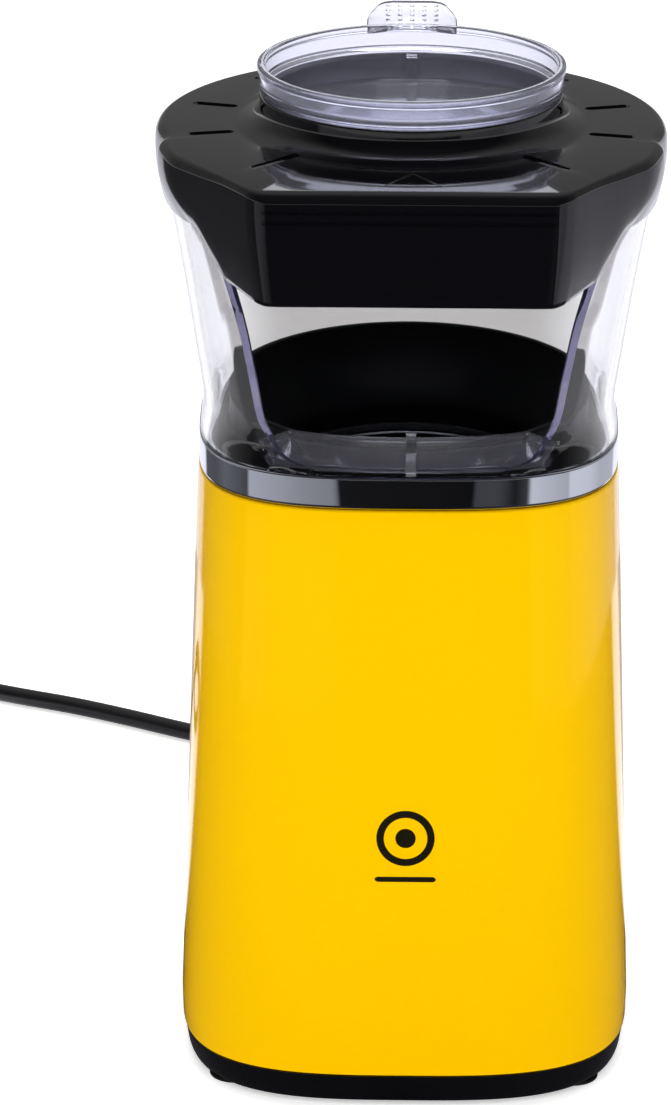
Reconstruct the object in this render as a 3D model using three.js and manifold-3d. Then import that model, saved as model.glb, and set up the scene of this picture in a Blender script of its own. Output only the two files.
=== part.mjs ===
// A hot-air popcorn maker: a tapered rounded-square housing with a bright trim ring, a clear hood with a
// U-shaped outlet, a black cover whose nose overhangs the outlet, and a clear measuring cup on the cover.
// Millimetres, +Z up, the outlet faces -Y. Heights count from the surface that the feet stand on.
import * as THREE from "three";
import { mergeVertices } from "three/addons/utils/BufferGeometryUtils.js";
import Module from "manifold-3d";

const wasm = await Module();
wasm.setup();

// ---------------------------------------------------------------------------------------------
// Driving sizes
// ---------------------------------------------------------------------------------------------
const GAP = 0.3; // between pieces that touch
const OVERLAP = 1; // by how far a rib or a tool runs into what it joins or cuts
const ROUND = 40; // sides of the large turned pieces
const SMALL_ROUND = 10; // sides of the small ones

// Housing and base
const HOUSING_HALF_WIDTH = 67.9; // at the bottom, across the flats
const HOUSING_TAPER = 5.3; // how much narrower each side is at the top
const HOUSING_HEIGHT = 175.5;
const HOUSING_WALL = 2.6;
const BOTTOM_SQUARENESS = 3.15; // exponent of the rounded-square section: 2 is a circle
const FOOT_HEIGHT = 1.6; // how far the feet stand out under the base
const FOOT_RADIUS = 8;
const BASE_HEIGHT = 8.9; // visible black band under the housing
const BASE_FLOOR = 2.5;
const BASE_LIP_HEIGHT = 5.5; // the lip that locates the housing
const BASE_TAPER = 2.6;

// Trim ring, funnel and popping chamber
const TRIM_HEIGHT = 9.7;
const TRIM_WALL = 3.5;
const FUNNEL_RIM_HEIGHT = 12.2; // of the rim at the back, above the trim ring
const FUNNEL_RIM_DROP = 5; // how much lower the rim is at the front
const FUNNEL_WALL = 2.2;
const FUNNEL_SETBACK = 7.7; // rim's outside to the trim ring's outside
const GASKET_HEIGHT = 2.2;
const MOUTH_DROP = 17; // chamber mouth below the trim ring's top
const DUCT_ROOM = 20; // between the heater duct and the outside of the housing, at the top
const DUCT_WALL = 1;
const CHAMBER_ROOM = 5.3; // between the chamber and the duct
const CHAMBER_WALL = 1;
const LOUVRE_COUNT = 14;
const LOUVRE_HEIGHT = 10;

// Blower and heater
const MOTOR_RADIUS = 14;
const MOTOR_HEIGHT = 29;
const MOTOR_CLEARANCE = 7.6; // motor above the base's floor
const BRACKET_THICKNESS = 1.5;
const FAN_HOUSING_HEIGHT = 33;
const FAN_HOUSING_WALL = 2;
const FAN_HEIGHT = 14;
const FAN_LIFT = 5; // fan above the floor of its housing
const FAN_TIP_CLEARANCE = 3;
const FAN_BLADES = 6;
const SHAFT_RADIUS = 1.5;
const LEG_RADIUS = 4;
const HEATER_HEIGHT = 18;
const HEATER_TURNS = 4;
const HEATER_WIRE_RADIUS = 0.8;
const HEATER_WIRE_CLEARANCE = 0.19; // between the wire's straight segments and the boards
const HEATER_SEGMENTS = 14; // of wire in a turn
const MICA_THICKNESS = 1.2;
const CHAMBER_ABOVE_HEATER = 5;

// Hood, cover and cup
const HOOD_HEIGHT = 69.4; // visible, up to the cover's lower edge
const HOOD_WALL = 2.2;
const HOOD_WAIST = 1.5; // how much the hood narrows just above the trim ring
const HOOD_INSET = 4.4; // hood's outside to the cover's outside
const OUTLET_HALF_WIDTH = 44; // of the outlet, low down
const OUTLET_SPREAD = 15.4; // how much wider each side is at the cover
const OUTLET_SILL = 2.4; // height of the clear band under the outlet
const LIP_HEIGHT = 8.4; // of the clear ramp behind the sill
const COVER_RADIUS = 75.7;
const COVER_HEIGHT = 20.6;
const COVER_WALL = 2.5;
const COVER_ROUNDING = 3.4;
const NOSE_REACH = 79; // from the axis to the front face
const NOSE_HALF_WIDTH = 43.5; // of the front face, at its lower edge
const NOSE_HEIGHT = 13.5; // of the nose below the cover's lower edge
const SLOT_WIDTH = 2.6;
const SLOT_INNER_RADIUS = 52.5;
const SLOT_OUTER_RADIUS = 67.5;
const SLOT_ANGLES = [-49, -14, 16, 46]; // from +X; the other side mirrors them
const CUP_RIM_RADIUS = 45.4;
const CUP_HEIGHT = 18.1;
const CUP_WALL = 1.6;
const SEAT_HEIGHT = 9; // of the raised ring around the cup
const SEAT_WALL = 1.4;
const HANDLE_LENGTH = 15;
const HANDLE_WIDTH = 27;
const HANDLE_TILT = 16; // degrees above level

// Screws, switch, board and thermal parts
const SCREW_RADIUS = 1.4;
const SCREW_HEAD_RADIUS = 2.8;
const SCREW_HEAD_HEIGHT = 1.3;
const SCREW_DEPTH = 9; // of thread in a post
const POST_RADIUS = 4;
const POST_ANGLE = 51.35; // degrees from +X to a housing post
const POST_CLEARANCE = 2.44; // between a housing post and the base's lip
const SWITCH_HEIGHT = 48; // its centre
const SWITCH_WIDTH = 21;
const SWITCH_TALL = 15;
const SWITCH_DEPTH = 13;
const ROCKER_WIDTH = 14;
const BOARD = { thickness: 1.6, width: 38, height: 36, centre: 82, wallGap: 8 };
const THERMOSTAT_HEIGHT = 130;

// Cord
const CORD_RADIUS = 2.9;
const CORD_EXIT_HEIGHT = 25;
const RELIEF_LENGTH = 30;
const RELIEF_RADIUS = 5.4;
const COIL_CENTRE = [-197, 268];
const COIL_MEAN_RADIUS = 33;
const COIL_TURN_WIDTH = 2; // turns side by side
const COIL_LIFT = 1; // the tie passes under the coil
const TIE_THICKNESS = 0.6;
const TIE_WIDTH = 6;
const PLUG = { length: 36, width: 35, thickness: 14, pinRadius: 2.4, pinLength: 19, pinSpacing: 19 };
const PLUG_TAIL_DROP = 34; // from the coil's middle to the plug's tail
const CORD_POINTS = [
  [0, 109, 24.4],
  [0, 120, 21.6],
  [0, 132, 16.4],
  [0, 144, 10.6],
  [0, 156, 6],
  [0, 168, 3.6],
  [-1, 180, 3.1],
  [-4.8, 192.5, 3.1],
  [-12.5, 204.5, 3.1],
  [-23.5, 215.5, 3.1],
  [-38, 225.8, 3.1],
  [-56, 236.6, 3.1],
  [-75, 247.4, 3.1],
  [-94.6, 260, 3.1],
  [-114.3, 271.6, 3.1],
  [-134, 281, 3.1],
  [-148, 288.4, 3.1],
  [-160, 294.4, 3.3],
  [-167, 297, 3.6],
];

// ---------------------------------------------------------------------------------------------
// Sizes that follow from them
// ---------------------------------------------------------------------------------------------
const topHalfWidth = HOUSING_HALF_WIDTH - HOUSING_TAPER;
const housingBottom = FOOT_HEIGHT + BASE_HEIGHT + GAP;
const housingTop = housingBottom + HOUSING_HEIGHT;
const trimBottom = housingTop + GAP;
const trimTop = trimBottom + TRIM_HEIGHT;
const baseFloorTop = FOOT_HEIGHT + BASE_FLOOR;
const hoodBottom = trimTop + GAP;
const coverBottom = hoodBottom + HOOD_HEIGHT;
const coverTop = coverBottom + COVER_HEIGHT;
const hoodTopRadius = COVER_RADIUS - HOOD_INSET;
const axisOffset = (NOSE_REACH - COVER_RADIUS) / 2; // puts the middle of the depth at Y = 0

const ductOuter = topHalfWidth - DUCT_ROOM;
const ductInner = ductOuter - DUCT_WALL;
const chamberOuter = ductInner - CHAMBER_ROOM;
const chamberInner = chamberOuter - CHAMBER_WALL;
const mouthTop = trimTop - MOUTH_DROP;
const motorBottom = baseFloorTop + MOTOR_CLEARANCE;
const motorTop = motorBottom + MOTOR_HEIGHT;
const bracketBottom = motorTop + GAP;
const fanHousingBottom = bracketBottom + BRACKET_THICKNESS + GAP;
const fanHousingTop = fanHousingBottom + FAN_HOUSING_HEIGHT;
const fanHousingOuter = ductOuter + 1.5;
const fanHousingInner = fanHousingOuter - FAN_HOUSING_WALL;
const fanFloorTop = fanHousingBottom + FAN_HOUSING_WALL;
const fanBottom = fanFloorTop + FAN_LIFT;
const fanInletRadius = fanHousingInner - 16;
const micaBottom = fanHousingTop + GAP;
const heaterTop = micaBottom + 3 + HEATER_HEIGHT;
const chamberBottom = heaterTop + CHAMBER_ABOVE_HEATER;

const halfWidthAt = (z) =>
  HOUSING_HALF_WIDTH - (HOUSING_TAPER * (z - housingBottom)) / HOUSING_HEIGHT;
const innerHalfWidthAt = (z) => halfWidthAt(z) - HOUSING_WALL;

// ---------------------------------------------------------------------------------------------
// Shape helpers
// ---------------------------------------------------------------------------------------------
const radians = THREE.MathUtils.degToRad;
const lerp = THREE.MathUtils.lerp;

// Turned about Z. The profile lists [radius, height] up the outside and down the inside, and it starts
// and ends on the axis or is closed here on itself.
function lathe(profile, sides = ROUND) {
  const [first, last] = [profile[0], profile[profile.length - 1]];
  const closed = first[0] === 0 && last[0] === 0 ? profile : [...profile, first];
  const points = closed.map(([r, z]) => new THREE.Vector2(r, z));
  return new THREE.LatheGeometry(points, sides).rotateX(Math.PI / 2);
}

// Pushes round sections out to rounded squares. The exponent is a number or a function of height.
function squared(geometry, exponent) {
  const p = geometry.getAttribute("position");
  for (let i = 0; i < p.count; i++) {
    const [x, y] = [p.getX(i), p.getY(i)];
    const radius = Math.hypot(x, y);
    if (radius === 0) continue;
    const n = typeof exponent === "function" ? exponent(p.getZ(i)) : exponent;
    const push = (Math.abs(x / radius) ** n + Math.abs(y / radius) ** n) ** (-1 / n);
    p.setXY(i, x * push, y * push);
  }
  return geometry;
}

const box = (w, d, h, x = 0, y = 0, z = 0) => new THREE.BoxGeometry(w, d, h).translate(x, y, z);

// A cylinder along Z from one height to another.
const post = (radius, bottom, top, x = 0, y = 0, sides = SMALL_ROUND) =>
  new THREE.CylinderGeometry(radius, radius, top - bottom, sides)
    .rotateX(Math.PI / 2)
    .translate(x, y, (bottom + top) / 2);

// An outline in X and Y, raised along Z.
const slab = (shape, bottom, height, options = {}) =>
  new THREE.ExtrudeGeometry(shape, { depth: height, bevelEnabled: false, ...options }).translate(0, 0, bottom);

// An outline in X and Z, run along Y from one place to another.
const run = (shape, from, to, curveSegments = 8) =>
  new THREE.ExtrudeGeometry(shape, { depth: to - from, bevelEnabled: false, curveSegments })
    .rotateX(Math.PI / 2)
    .translate(0, to, 0);

const outline = (points) => new THREE.Shape(points.map(([x, y]) => new THREE.Vector2(x, y)));

function solid(geometry) {
  const bare = geometry.clone();
  bare.deleteAttribute("normal");
  bare.deleteAttribute("uv");
  const merged = mergeVertices(bare, 1e-3);
  const corners = merged.index.array;
  const faces = [];
  for (let i = 0; i < corners.length; i += 3) {
    const [a, b, c] = corners.slice(i, i + 3);
    if (a !== b && b !== c && c !== a) faces.push(a, b, c);
  }
  const vertProperties = new Float32Array(merged.attributes.position.array);
  return new wasm.Manifold(new wasm.Mesh({ numProp: 3, vertProperties, triVerts: new Uint32Array(faces) }));
}

function geometryOf(made) {
  const mesh = made.getMesh();
  const geometry = new THREE.BufferGeometry();
  geometry.setAttribute("position", new THREE.BufferAttribute(mesh.vertProperties, 3));
  geometry.setIndex(new THREE.BufferAttribute(mesh.triVerts, 1));
  geometry.computeVertexNormals();
  return geometry;
}

const join = (...geometries) =>
  geometryOf(geometries.map(solid).reduce((sum, next) => sum.add(next)));
const cut = (geometry, ...tools) =>
  geometryOf(tools.map(solid).reduce((rest, tool) => rest.subtract(tool), solid(geometry)));
const common = (a, b) => geometryOf(solid(a).intersect(solid(b)));

// A round wire or cord along points: a polygon section swept along a smooth curve.
function wire(points, radius, sides, steps) {
  const section = outline(
    Array.from({ length: sides }, (_, i) => {
      const a = (2 * Math.PI * i) / sides;
      return [radius * Math.cos(a), radius * Math.sin(a)];
    }),
  );
  const path = new THREE.CatmullRomCurve3(points.map((p) => new THREE.Vector3(...p)), false, "centripetal");
  return new THREE.ExtrudeGeometry(section, { steps, extrudePath: path, bevelEnabled: false });
}

// ---------------------------------------------------------------------------------------------
// Materials and assembly
// ---------------------------------------------------------------------------------------------
const finish = (color, roughness, metalness = 0, opacity = 1) =>
  new THREE.MeshStandardMaterial({ color, roughness, metalness, opacity, transparent: opacity < 1 });
const yellowGloss = finish(0xfdc400, 0.12);
const chrome = finish(0xd8dce2, 0.06, 1);
const blackGloss = finish(0x0c0c0f, 0.1);
const blackSatin = finish(0x17171a, 0.42);
const blackPlastic = finish(0x1b1b1e, 0.5);
const clearPlastic = finish(0xf2f4fb, 0.04, 0, 0.25);
const rubber = finish(0x141416, 0.85);
const aluminium = finish(0xc3c6c9, 0.32, 1);
const steel = finish(0xa9adb2, 0.35, 1);
const silicone = finish(0xb9553b, 0.6);
const mica = finish(0xb7a27a, 0.55);
const nichrome = finish(0x6f675e, 0.45, 1);
const boardGreen = finish(0x2e6b3e, 0.5);
const brass = finish(0xd6c9a0, 0.25, 1);

const model = new THREE.Group();
const hoodGroup = new THREE.Group();
const fanGroup = new THREE.Group();
const cordGroup = new THREE.Group();
model.add(hoodGroup, fanGroup, cordGroup);
model.position.y = axisOffset;

function add(name, geometry, material, group = model) {
  const mesh = new THREE.Mesh(geometry, material);
  mesh.name = name;
  group.add(mesh);
}

// A screw with its head below and its thread up, as a mesh of its own.
const screwUp = (x, y, headBottom, length) =>
  join(
    post(SCREW_HEAD_RADIUS, headBottom, headBottom + SCREW_HEAD_HEIGHT, x, y),
    post(SCREW_RADIUS, headBottom + OVERLAP, headBottom + SCREW_HEAD_HEIGHT + length, x, y),
  );

// ---------------------------------------------------------------------------------------------
// Base: tray with the air inlet, feet and screws
// ---------------------------------------------------------------------------------------------
const corners = [
  [-1, -1],
  [1, -1],
  [-1, 1],
  [1, 1],
];
// Distance from the axis to a rounded-square section of a given half-width, at an angle.
const sectionReach = (half, angle) =>
  half *
  (Math.abs(Math.cos(angle)) ** BOTTOM_SQUARENESS + Math.abs(Math.sin(angle)) ** BOTTOM_SQUARENESS) **
    (-1 / BOTTOM_SQUARENESS);
// How far along Y such a section is from the axis, at a place along X.
const sectionY = (half, x) => half * (1 - (Math.abs(x) / half) ** BOTTOM_SQUARENESS) ** (1 / BOTTOM_SQUARENESS);
const lipOuter = innerHalfWidthAt(housingBottom) - GAP;
const lipInner = lipOuter - HOUSING_WALL;
const postReach = sectionReach(lipInner, radians(POST_ANGLE)) - POST_RADIUS - POST_CLEARANCE;
const postPlace = [postReach * Math.cos(radians(POST_ANGLE)), postReach * Math.sin(radians(POST_ANGLE))];
const footPlace = [HOUSING_HALF_WIDTH - 17.4, HOUSING_HALF_WIDTH - 26.9];
const legAngles = [90, 210, 330];
const legCircle = fanInletRadius + LEG_RADIUS + 6;
const legPlace = (angle) => [legCircle * Math.cos(radians(angle)), legCircle * Math.sin(radians(angle))];
const screwRecess = SCREW_HEAD_HEIGHT + GAP; // the heads lie level with the base's underside
const inletRadius = legCircle - LEG_RADIUS - 3;
const INLET_SLOTS = 9;
const INLET_SLOT_WIDTH = 3;

function basePlate() {
  const top = housingBottom - GAP;
  const outer = HOUSING_HALF_WIDTH - 0.9;
  const tray = squared(
    lathe([
      [0, FOOT_HEIGHT],
      [outer - BASE_TAPER, FOOT_HEIGHT],
      [outer - BASE_TAPER / 2, FOOT_HEIGHT + 1.8],
      [outer, top],
      [lipOuter, top],
      [lipOuter, top + BASE_LIP_HEIGHT],
      [lipInner, top + BASE_LIP_HEIGHT],
      [lipInner, baseFloorTop],
      [0, baseFloorTop],
    ]),
    BOTTOM_SQUARENESS,
  );
  const cuts = [];
  const pitch = (2 * inletRadius) / INLET_SLOTS;
  for (let i = 0; i < INLET_SLOTS; i++) {
    const x = (i - (INLET_SLOTS - 1) / 2) * pitch;
    const length = 2 * Math.sqrt(inletRadius ** 2 - x ** 2) - INLET_SLOT_WIDTH;
    cuts.push(box(INLET_SLOT_WIDTH, length, 4 * BASE_FLOOR, x, 0, baseFloorTop));
  }
  const screws = [
    ...corners.map(([sx, sy]) => [sx * postPlace[0], sy * postPlace[1]]),
    ...legAngles.map(legPlace),
  ];
  for (const [x, y] of screws) {
    cuts.push(post(SCREW_RADIUS + GAP, 0, baseFloorTop + OVERLAP, x, y));
    cuts.push(post(SCREW_HEAD_RADIUS + GAP, 0, FOOT_HEIGHT + screwRecess, x, y));
  }
  return cut(tray, ...cuts);
}

add("base_plate", basePlate(), blackGloss);
corners.forEach(([sx, sy], i) => {
  add(`foot_${i + 1}`, post(FOOT_RADIUS, 0, FOOT_HEIGHT - GAP, sx * footPlace[0], sy * footPlace[1], 24), rubber);
});

const screwLength = BASE_FLOOR - SCREW_HEAD_HEIGHT + SCREW_DEPTH;
corners.forEach(([sx, sy], i) => {
  add(`base_screw_${i + 1}`, screwUp(sx * postPlace[0], sy * postPlace[1], FOOT_HEIGHT, screwLength), steel);
});
legAngles.forEach((angle, i) => {
  add(`blower_screw_${i + 1}`, screwUp(...legPlace(angle), FOOT_HEIGHT, screwLength), steel);
});

// ---------------------------------------------------------------------------------------------
// Housing with its posts, and the openings at the back for the switch and the cord
// ---------------------------------------------------------------------------------------------
const postBottom = baseFloorTop + GAP;
const screwHole = (x, y) => post(SCREW_RADIUS + GAP, postBottom - OVERLAP, postBottom + SCREW_DEPTH + 2, x, y);
const ribBottom = housingBottom + BASE_LIP_HEIGHT + 2;
const POST_HEIGHT = 30;
const boardX = innerHalfWidthAt(BOARD.centre) - BOARD.wallGap;
const boardScrewY = BOARD.width / 2 - 4;
const BOARD_BOSS_RADIUS = 3;

function cylinderAlongX(radius, from, to, y, z, sides = SMALL_ROUND) {
  return new THREE.CylinderGeometry(radius, radius, to - from, sides)
    .rotateZ(-Math.PI / 2)
    .translate((from + to) / 2, y, z);
}

function housing() {
  const lowInner = innerHalfWidthAt(housingBottom);
  const flangeInner = topHalfWidth - 6;
  const flangeBottom = housingTop - 2;
  const shell = squared(
    lathe([
      [HOUSING_HALF_WIDTH - 0.6, housingBottom],
      [HOUSING_HALF_WIDTH, housingBottom + 1.5],
      [halfWidthAt(housingTop - 0.6), housingTop - 0.6],
      [topHalfWidth - 0.5, housingTop],
      [flangeInner, housingTop],
      [flangeInner, flangeBottom],
      [innerHalfWidthAt(flangeBottom), flangeBottom],
      [lowInner, housingBottom],
    ]),
    BOTTOM_SQUARENESS,
  );
  const posts = corners.flatMap(([sx, sy]) => {
    const [x, y] = [sx * postPlace[0], sy * postPlace[1]];
    const ribTop = postBottom + POST_HEIGHT;
    const wallY = sy * (sectionY(innerHalfWidthAt(ribTop), x) + HOUSING_WALL / 2);
    const ribHeight = ribTop - ribBottom;
    const rib = box(2, Math.abs(wallY - y), ribHeight, x, (y + wallY) / 2, ribBottom + ribHeight / 2);
    return [post(POST_RADIUS, postBottom, postBottom + POST_HEIGHT, x, y), rib];
  });
  const bosses = [-1, 1].map((s) =>
    cylinderAlongX(
      BOARD_BOSS_RADIUS,
      boardX + BOARD.thickness / 2 + GAP,
      innerHalfWidthAt(BOARD.centre) + OVERLAP,
      s * boardScrewY,
      BOARD.centre,
    ),
  );
  const cuts = [
    ...corners.map(([sx, sy]) => screwHole(sx * postPlace[0], sy * postPlace[1])),
    ...[-1, 1].map((s) =>
      cylinderAlongX(SCREW_RADIUS + GAP, boardX, boardX + BOARD.wallGap - 1, s * boardScrewY, BOARD.centre),
    ),
    box(SWITCH_WIDTH - 2.4 + 2 * GAP, 12, SWITCH_TALL - 2.4 + 2 * GAP, 0, halfWidthAt(SWITCH_HEIGHT), SWITCH_HEIGHT),
    new THREE.CylinderGeometry(RELIEF_RADIUS + GAP, RELIEF_RADIUS + GAP, 12, SMALL_ROUND).translate(
      0,
      halfWidthAt(CORD_EXIT_HEIGHT),
      CORD_EXIT_HEIGHT,
    ),
  ];
  // Ribs run into the wall's thickness, and what would stand out of the wall is trimmed to its outside.
  const outside = squared(
    lathe([
      [0, 0],
      [HOUSING_HALF_WIDTH - 1, 0],
      [HOUSING_HALF_WIDTH - 1, housingBottom],
      [topHalfWidth - 1, housingTop],
      [0, housingTop],
    ]),
    BOTTOM_SQUARENESS,
  );
  const inner = common(join(...posts, ...bosses), outside);
  return cut(join(shell, inner), ...cuts);
}

add("housing", housing(), yellowGloss);

// ---------------------------------------------------------------------------------------------
// Trim ring, funnel, gasket, popping chamber and heater duct
// ---------------------------------------------------------------------------------------------
const trimOuter = topHalfWidth - 0.3;
const trimInner = trimOuter - TRIM_WALL;
add(
  "trim_ring",
  squared(
    lathe([
      [trimOuter - 0.3, trimBottom],
      [trimOuter, trimBottom + 0.4],
      [trimOuter - 0.2, trimTop - 0.5],
      [trimOuter - 0.6, trimTop],
      [trimInner, trimTop],
      [trimInner, trimBottom],
    ]),
    BOTTOM_SQUARENESS,
  ),
  chrome,
);

const funnelRim = topHalfWidth - FUNNEL_SETBACK;
const funnelMouth = chamberInner + 0.8;
const funnelBottom = mouthTop + GAP + GASKET_HEIGHT + GAP;

function funnel() {
  const deckOuter = trimInner - GAP;
  const deckTop = trimTop - 0.4;
  const deckThickness = 2.2;
  const rimTop = trimTop + FUNNEL_RIM_HEIGHT;
  const flange = chamberOuter + 5;
  const deck = squared(
    lathe([
      [0, trimBottom],
      [deckOuter, trimBottom],
      [deckOuter, deckTop],
      [0, deckTop],
    ]),
    BOTTOM_SQUARENESS,
  );
  const deckHollow = squared(
    lathe([
      [0, trimBottom - OVERLAP],
      [deckOuter - deckThickness, trimBottom - OVERLAP],
      [deckOuter - deckThickness, deckTop - deckThickness],
      [0, deckTop - deckThickness],
    ]),
    BOTTOM_SQUARENESS,
  );
  const coneTop = [funnelRim - FUNNEL_WALL - 3, rimTop - 7];
  const skirtInner = funnelRim - FUNNEL_WALL;
  const skirtFoot = deckTop - deckThickness;
  const bowl = lathe([
    [funnelMouth, funnelBottom],
    [flange, funnelBottom],
    [flange, funnelBottom + 2],
    [funnelMouth + 2.6, funnelBottom + 2],
    [coneTop[0] + 0.4, coneTop[1] - 3],
    [skirtInner, coneTop[1] - 3],
    [skirtInner, skirtFoot],
    [funnelRim, skirtFoot],
    [funnelRim, rimTop + OVERLAP],
    [skirtInner, rimTop + OVERLAP],
    [skirtInner, rimTop],
    coneTop,
    [funnelMouth, funnelBottom + 1.2],
  ]);
  // The rim slopes down towards the outlet.
  const slope = Math.atan2(FUNNEL_RIM_DROP, 2 * funnelRim);
  const above = box(4 * funnelRim, 4 * funnelRim, 40, 0, 0, 20)
    .rotateX(slope)
    .translate(0, 0, rimTop - FUNNEL_RIM_DROP / 2);
  const inside = post(skirtInner + OVERLAP / 2, skirtFoot - OVERLAP, deckTop + OVERLAP, 0, 0, ROUND);
  return cut(join(cut(deck, deckHollow, inside), bowl), above);
}

add("funnel", funnel(), blackSatin);
add(
  "chamber_gasket",
  lathe([
    [chamberOuter + 4, mouthTop + GAP],
    [chamberOuter + 4, mouthTop + GAP + GASKET_HEIGHT],
    [chamberInner + 0.4, mouthTop + GAP + GASKET_HEIGHT],
    [chamberInner + 0.4, mouthTop + GAP],
  ]),
  silicone,
);

function poppingChamber() {
  const flange = chamberOuter + 4;
  const flangeBottom = mouthTop - CHAMBER_WALL;
  const cup = lathe([
    [0, chamberBottom],
    [chamberOuter - 6, chamberBottom + 1],
    [chamberOuter, chamberBottom + 7],
    [chamberOuter, flangeBottom],
    [flange, flangeBottom],
    [flange, mouthTop],
    [chamberInner, mouthTop],
    [chamberInner, chamberBottom + 7.4],
    [chamberInner - 5.4, chamberBottom + 2],
    [0, chamberBottom + CHAMBER_WALL],
  ]);
  // Slanting louvres low in the wall let the hot air in along the wall, which makes the corn spin.
  const louvres = Array.from({ length: LOUVRE_COUNT }, (_, i) =>
    box(7, 1.6, LOUVRE_HEIGHT)
      .rotateX(radians(25))
      .translate(chamberInner + CHAMBER_WALL / 2, 0, chamberBottom + 9 + LOUVRE_HEIGHT / 2)
      .rotateZ((2 * Math.PI * i) / LOUVRE_COUNT),
  );
  return cut(cup, ...louvres);
}

add("popping_chamber", poppingChamber(), aluminium);

const ductTop = mouthTop - CHAMBER_WALL - GAP;
add(
  "heater_duct",
  lathe([
    [ductOuter, fanHousingTop + GAP],
    [ductOuter, ductTop],
    [chamberOuter + 2, ductTop],
    [chamberOuter + 2, ductTop - DUCT_WALL],
    [ductInner, ductTop - DUCT_WALL],
    [ductInner, fanHousingTop + GAP],
  ]),
  steel,
);

// ---------------------------------------------------------------------------------------------
// Blower: housing on three legs, motor on its bracket, shaft and fan
// ---------------------------------------------------------------------------------------------
const bracketScrewX = fanInletRadius + 5;

function fanHousing() {
  const ledge = 2; // a ledge inside the rim carries the mica frame
  const drum = lathe([
    [fanInletRadius, fanHousingBottom],
    [fanHousingOuter, fanHousingBottom],
    [fanHousingOuter, fanHousingTop],
    [fanHousingInner - ledge, fanHousingTop],
    [fanHousingInner - ledge, fanHousingTop - ledge],
    [fanHousingInner, fanHousingTop - 2 * ledge],
    [fanHousingInner, fanFloorTop],
    [fanInletRadius, fanFloorTop],
  ]);
  const legs = legAngles.map((a) => post(LEG_RADIUS, postBottom, fanHousingBottom + OVERLAP, ...legPlace(a)));
  const holes = [
    ...legAngles.map((a) => screwHole(...legPlace(a))),
    ...[-1, 1].map((s) =>
      post(SCREW_RADIUS + GAP, fanHousingBottom - OVERLAP, fanFloorTop + OVERLAP, s * bracketScrewX),
    ),
  ];
  return cut(join(drum, ...legs), ...holes);
}

function motorBracket() {
  const top = bracketBottom + BRACKET_THICKNESS;
  const middle = (bracketBottom + top) / 2;
  const plate = join(
    post(MOTOR_RADIUS + 2, bracketBottom, top, 0, 0, 32),
    box(2 * (bracketScrewX + 5), 10, BRACKET_THICKNESS, 0, 0, middle),
  );
  return cut(
    plate,
    post(4, bracketBottom - OVERLAP, top + OVERLAP),
    ...[-1, 1].map((s) => post(SCREW_RADIUS + GAP, bracketBottom - OVERLAP, top + OVERLAP, s * bracketScrewX)),
  );
}

const shaftBottom = motorTop - 10;
add("fan_housing", fanHousing(), blackPlastic);
add("motor_bracket", motorBracket(), steel);
add(
  "motor",
  cut(
    join(
      post(MOTOR_RADIUS, motorBottom + 3, motorTop, 0, 0, 32),
      post(MOTOR_RADIUS / 2, motorBottom, motorBottom + 3 + OVERLAP, 0, 0, 24),
    ),
    post(SHAFT_RADIUS + GAP, shaftBottom - GAP, motorTop + OVERLAP),
  ),
  steel,
);
[-1, 1].forEach((s, i) => {
  const head = bracketBottom - GAP - SCREW_HEAD_HEIGHT;
  const length = GAP + BRACKET_THICKNESS + GAP + FAN_HOUSING_WALL;
  add(`motor_screw_${i + 1}`, screwUp(s * bracketScrewX, 0, head, length), steel);
});

function fan() {
  const hubRadius = 7;
  const tip = fanHousingInner - FAN_TIP_CLEARANCE;
  const middle = fanBottom + FAN_HEIGHT / 2;
  const blades = Array.from({ length: FAN_BLADES }, (_, i) =>
    box(tip - hubRadius + OVERLAP, FAN_HEIGHT, 1.2)
      .rotateX(radians(35))
      .translate((tip + hubRadius - OVERLAP) / 2, 0, middle)
      .rotateZ((2 * Math.PI * i) / FAN_BLADES),
  );
  return cut(
    join(post(hubRadius, fanBottom, fanBottom + FAN_HEIGHT, 0, 0, 24), ...blades),
    post(SHAFT_RADIUS + GAP, fanBottom - OVERLAP, fanBottom + FAN_HEIGHT + OVERLAP),
  );
}

add("fan_shaft", post(SHAFT_RADIUS, shaftBottom, fanBottom + FAN_HEIGHT + 1), steel, fanGroup);
add("fan", fan(), aluminium, fanGroup);

// ---------------------------------------------------------------------------------------------
// Heater: crossed mica boards, the wound element, thermostat and fuse
// ---------------------------------------------------------------------------------------------
const micaHalf = ductInner - 11;
const tabHalf = fanHousingInner - GAP - 0.8;
const MICA_TAB_HEIGHT = 3;

function micaFrame() {
  const boards = [0, Math.PI / 2].flatMap((turn) => [
    box(2 * tabHalf, MICA_THICKNESS, MICA_TAB_HEIGHT, 0, 0, micaBottom + MICA_TAB_HEIGHT / 2).rotateZ(turn),
    box(2 * micaHalf, MICA_THICKNESS, heaterTop - micaBottom, 0, 0, (heaterTop + micaBottom) / 2).rotateZ(turn),
  ]);
  return join(...boards);
}

function heatingElement() {
  const radius = (micaHalf + HEATER_WIRE_RADIUS + HEATER_WIRE_CLEARANCE) / Math.cos(Math.PI / HEATER_SEGMENTS);
  const bottom = micaBottom + MICA_TAB_HEIGHT + 1 + HEATER_WIRE_RADIUS;
  const rise = heaterTop - HEATER_WIRE_RADIUS - bottom;
  const perTurn = 12;
  const points = Array.from({ length: HEATER_TURNS * perTurn + 1 }, (_, i) => {
    const a = (2 * Math.PI * i) / perTurn;
    return [radius * Math.cos(a), radius * Math.sin(a), bottom + (rise * i) / (HEATER_TURNS * perTurn)];
  });
  return wire(points, HEATER_WIRE_RADIUS, 6, HEATER_TURNS * HEATER_SEGMENTS);
}

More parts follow.
